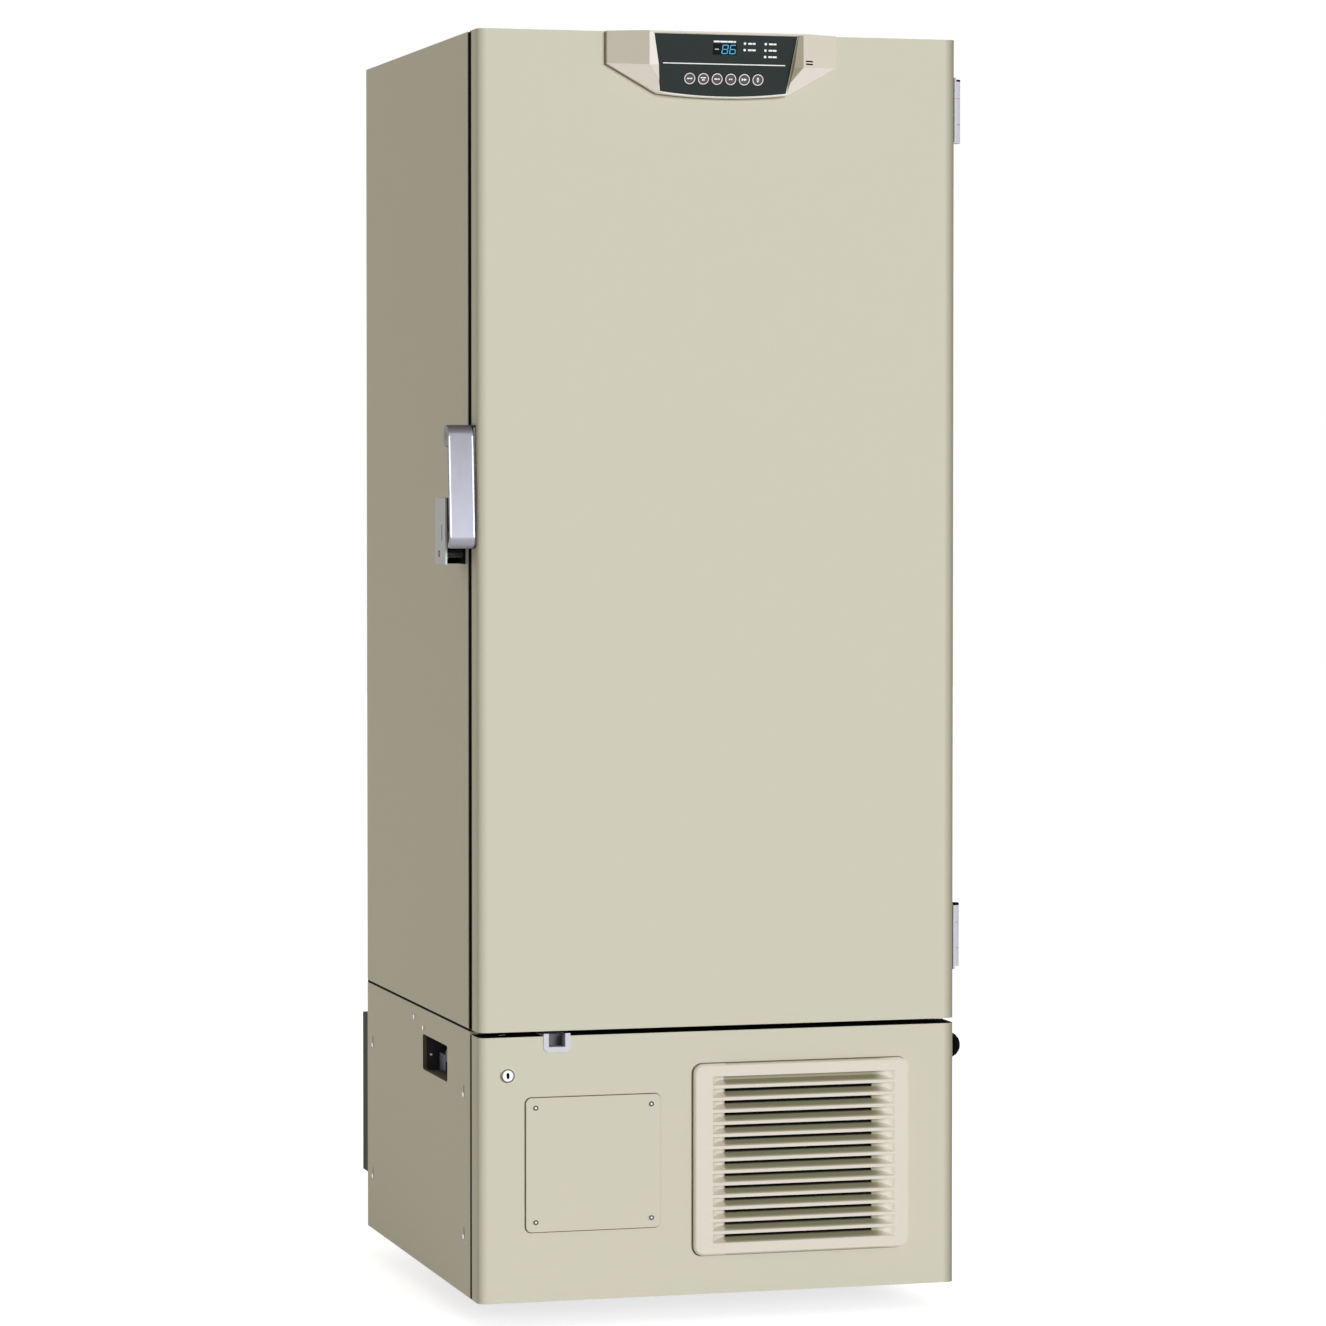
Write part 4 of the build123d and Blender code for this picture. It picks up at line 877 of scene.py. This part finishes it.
# Painted highlights along the lever's long edges, following its lean
lever_low, lever_high = box_of("door_lever")
lean_top = (lever_top_y - film, lever_high[2] - lever_end_room)
lean_end = (lever_end_y - film, lever_low[2] + lever_end_room)
lever_highlights = (("lever_highlight_left", lever_low[0] + film), ("lever_highlight_right", lever_high[0] - lever_strip))
for name, x0 in lever_highlights:
    x1 = x0 + lever_strip
    points = [(x0, *lean_top), (x1, *lean_top), (x1, *lean_end), (x0, *lean_end)]
    piece(name, points, [(0, 1, 2, 3)], edge, "lever")

# Painted shade at the tops of the hinges
hinge_low, hinge_high = box_of("cabinet_hinges")
for name, top in (("upper_hinge_shade", hinge_high[2]), ("lower_hinge_shade", hinge_low[2] + hinge_height)):
    near, far = ([(hinge_x + a, hinge_y + b, z) for a, b in circle(hinge_shade_radius)]
                 for z in (top - hinge_shade_height, top + film))
    sleeve(name, near, far, shade, "cabinet", closed=True)

# Side window: its folded edge, and the guard, lamp and floor of the switch box
window_low = (cover_low[1] + window_front, cover_high[2] - window_bottom)
window_high = (cover_low[1] + window_back, cover_high[2] - window_top)
outline = rounded(window_low, window_high, window_radius, -film)
# The window's fold is dark with painted shade
sleeve("window_fold", [(cover_low[0] + film, a, b) for a, b in outline],
       [(cover_low[0] + window_fold, a, b) for a, b in outline], keyhole, "cabinet")
switch_low, switch_high = box_of("breaker_rocker")
case_low, case_high = box_of("switch_box")
guard_low = (switch_low[0], switch_high[1] + guard_gap, window_low[1] + guard_low_rise)
guard_high = (case_high[0] - case_wall, guard_low[1] + guard_depth, window_low[1] + guard_high_rise)
blocks("switch_guard", [(guard_low, guard_high)], switch, "cabinet")
lamp_x = cover_low[0] + switch_lamp_depth
lamp_z = window_high[1] - switch_lamp_drop
lamp_low = (lamp_x - switch_lamp_half, window_high[0] - switch_lamp_reach, lamp_z - switch_lamp_half)
lamp_high = (lamp_x + switch_lamp_half, window_high[0] + case_wall - film, lamp_z + switch_lamp_half)
blocks("switch_lamp", [(lamp_low, lamp_high)], lamp, "cabinet")
# The box's floor is dark with painted shade
floor_z = window_low[1] - case_wall
floor_low = (case_low[0] + film, window_low[0], floor_z + film / 2)
floor_high = (case_high[0] - case_wall - film, window_high[0], floor_z + film)
blocks("switch_box_floor", [(floor_low, floor_high)], keyhole, "cabinet")


def seen_rays(tree):
    """1 for rays that show the background: from the camera, off gloss or through glass."""
    path = tree.nodes.new("ShaderNodeLightPath")
    seen = path.outputs["Is Camera Ray"]
    for name in ("Is Glossy Ray", "Is Transmission Ray"):
        add = tree.nodes.new("ShaderNodeMath")
        add.operation = "ADD"
        add.use_clamp = True
        tree.links.new(seen, add.inputs[0])
        tree.links.new(path.outputs[name], add.inputs[1])
        seen = add.outputs["Value"]
    return seen


def studio(name, rgba, fill):
    """A pale surface that keeps soft shadows and is seen as white beside them."""
    material = finish(name, rgba, rough=0.8, grain=40, spread=0.02)
    tree = material.node_tree
    level = tree.nodes.new("ShaderNodeMapRange")
    level.inputs["To Max"].default_value = fill
    glow_part = tree.nodes.new("ShaderNodeEmission")
    both = tree.nodes.new("ShaderNodeAddShader")
    tree.links.new(seen_rays(tree), level.inputs["Value"])
    tree.links.new(level.outputs["Result"], glow_part.inputs["Strength"])
    tree.links.new(tree.nodes["Principled BSDF"].outputs["BSDF"], both.inputs[0])
    tree.links.new(glow_part.outputs["Emission"], both.inputs[1])
    tree.links.new(both.outputs["Shader"], tree.nodes["Material Output"].inputs["Surface"])
    return material


def studio_world():
    """A background that is seen as white and lights the part with a dim, warm tint."""
    world = bpy.data.worlds.new("studio_world")
    bpy.context.scene.world = world
    world.use_nodes = True
    tree = world.node_tree
    background = tree.nodes["Background"]
    tint = tree.nodes.new("ShaderNodeMix")
    tint.data_type = "RGBA"
    tint.inputs["A"].default_value = world_tint
    tint.inputs["B"].default_value = world_white
    level = tree.nodes.new("ShaderNodeMapRange")
    level.inputs["To Min"].default_value = world_level
    level.inputs["To Max"].default_value = 1.0
    seen = seen_rays(tree)
    tree.links.new(seen, level.inputs["Value"])
    tree.links.new(seen, tint.inputs["Factor"])
    tree.links.new(tint.outputs["Result"], background.inputs["Color"])
    tree.links.new(level.outputs["Result"], background.inputs["Strength"])


def far_light(name, towards, strength, rgb):
    """A broad, even light that shines along one direction."""
    data = bpy.data.lights.new(name, "SUN")
    data.energy = strength
    data.color = rgb
    data.angle = math.radians(light_softness)
    made = bpy.data.objects.new(name, data)
    bpy.context.scene.collection.objects.link(made)
    flat = math.hypot(towards[0], towards[1])
    made.rotation_euler = (math.atan2(flat, -towards[2]), 0, math.atan2(-towards[0], towards[1]))
    return made


# Floor, background and lights
bpy.ops.mesh.primitive_plane_add(size=floor_size, location=(0, 0, -floor_drop))
floor = bpy.context.object
floor.name = "studio_floor"
floor.data.materials.append(studio("studio_floor", colour(238, 238, 238), floor_fill))

studio_world()
far_light("key_light", key_light_way, key_light_strength, key_light_colour)
back_light = far_light("back_light", back_light_way, back_light_strength, back_light_colour)
back_light.visible_glossy = False

# Camera fitted to the photo's edges: its pitch looks down, its turn looks to the right
camera_data = bpy.data.cameras.new("photo_camera")
camera_data.sensor_width = sensor_width
camera_data.lens = focal_pixels / photo_pixels * sensor_width
camera_data.shift_y = lens_shift
camera_data.clip_end = clip_distance
camera = bpy.data.objects.new("photo_camera", camera_data)
bpy.context.scene.collection.objects.link(camera)
camera.location = camera_place
camera.rotation_euler = (math.pi / 2 - camera_pitch, 0, -camera_turn)
bpy.context.scene.camera = camera
bpy.context.scene.view_settings.view_transform = "Standard"
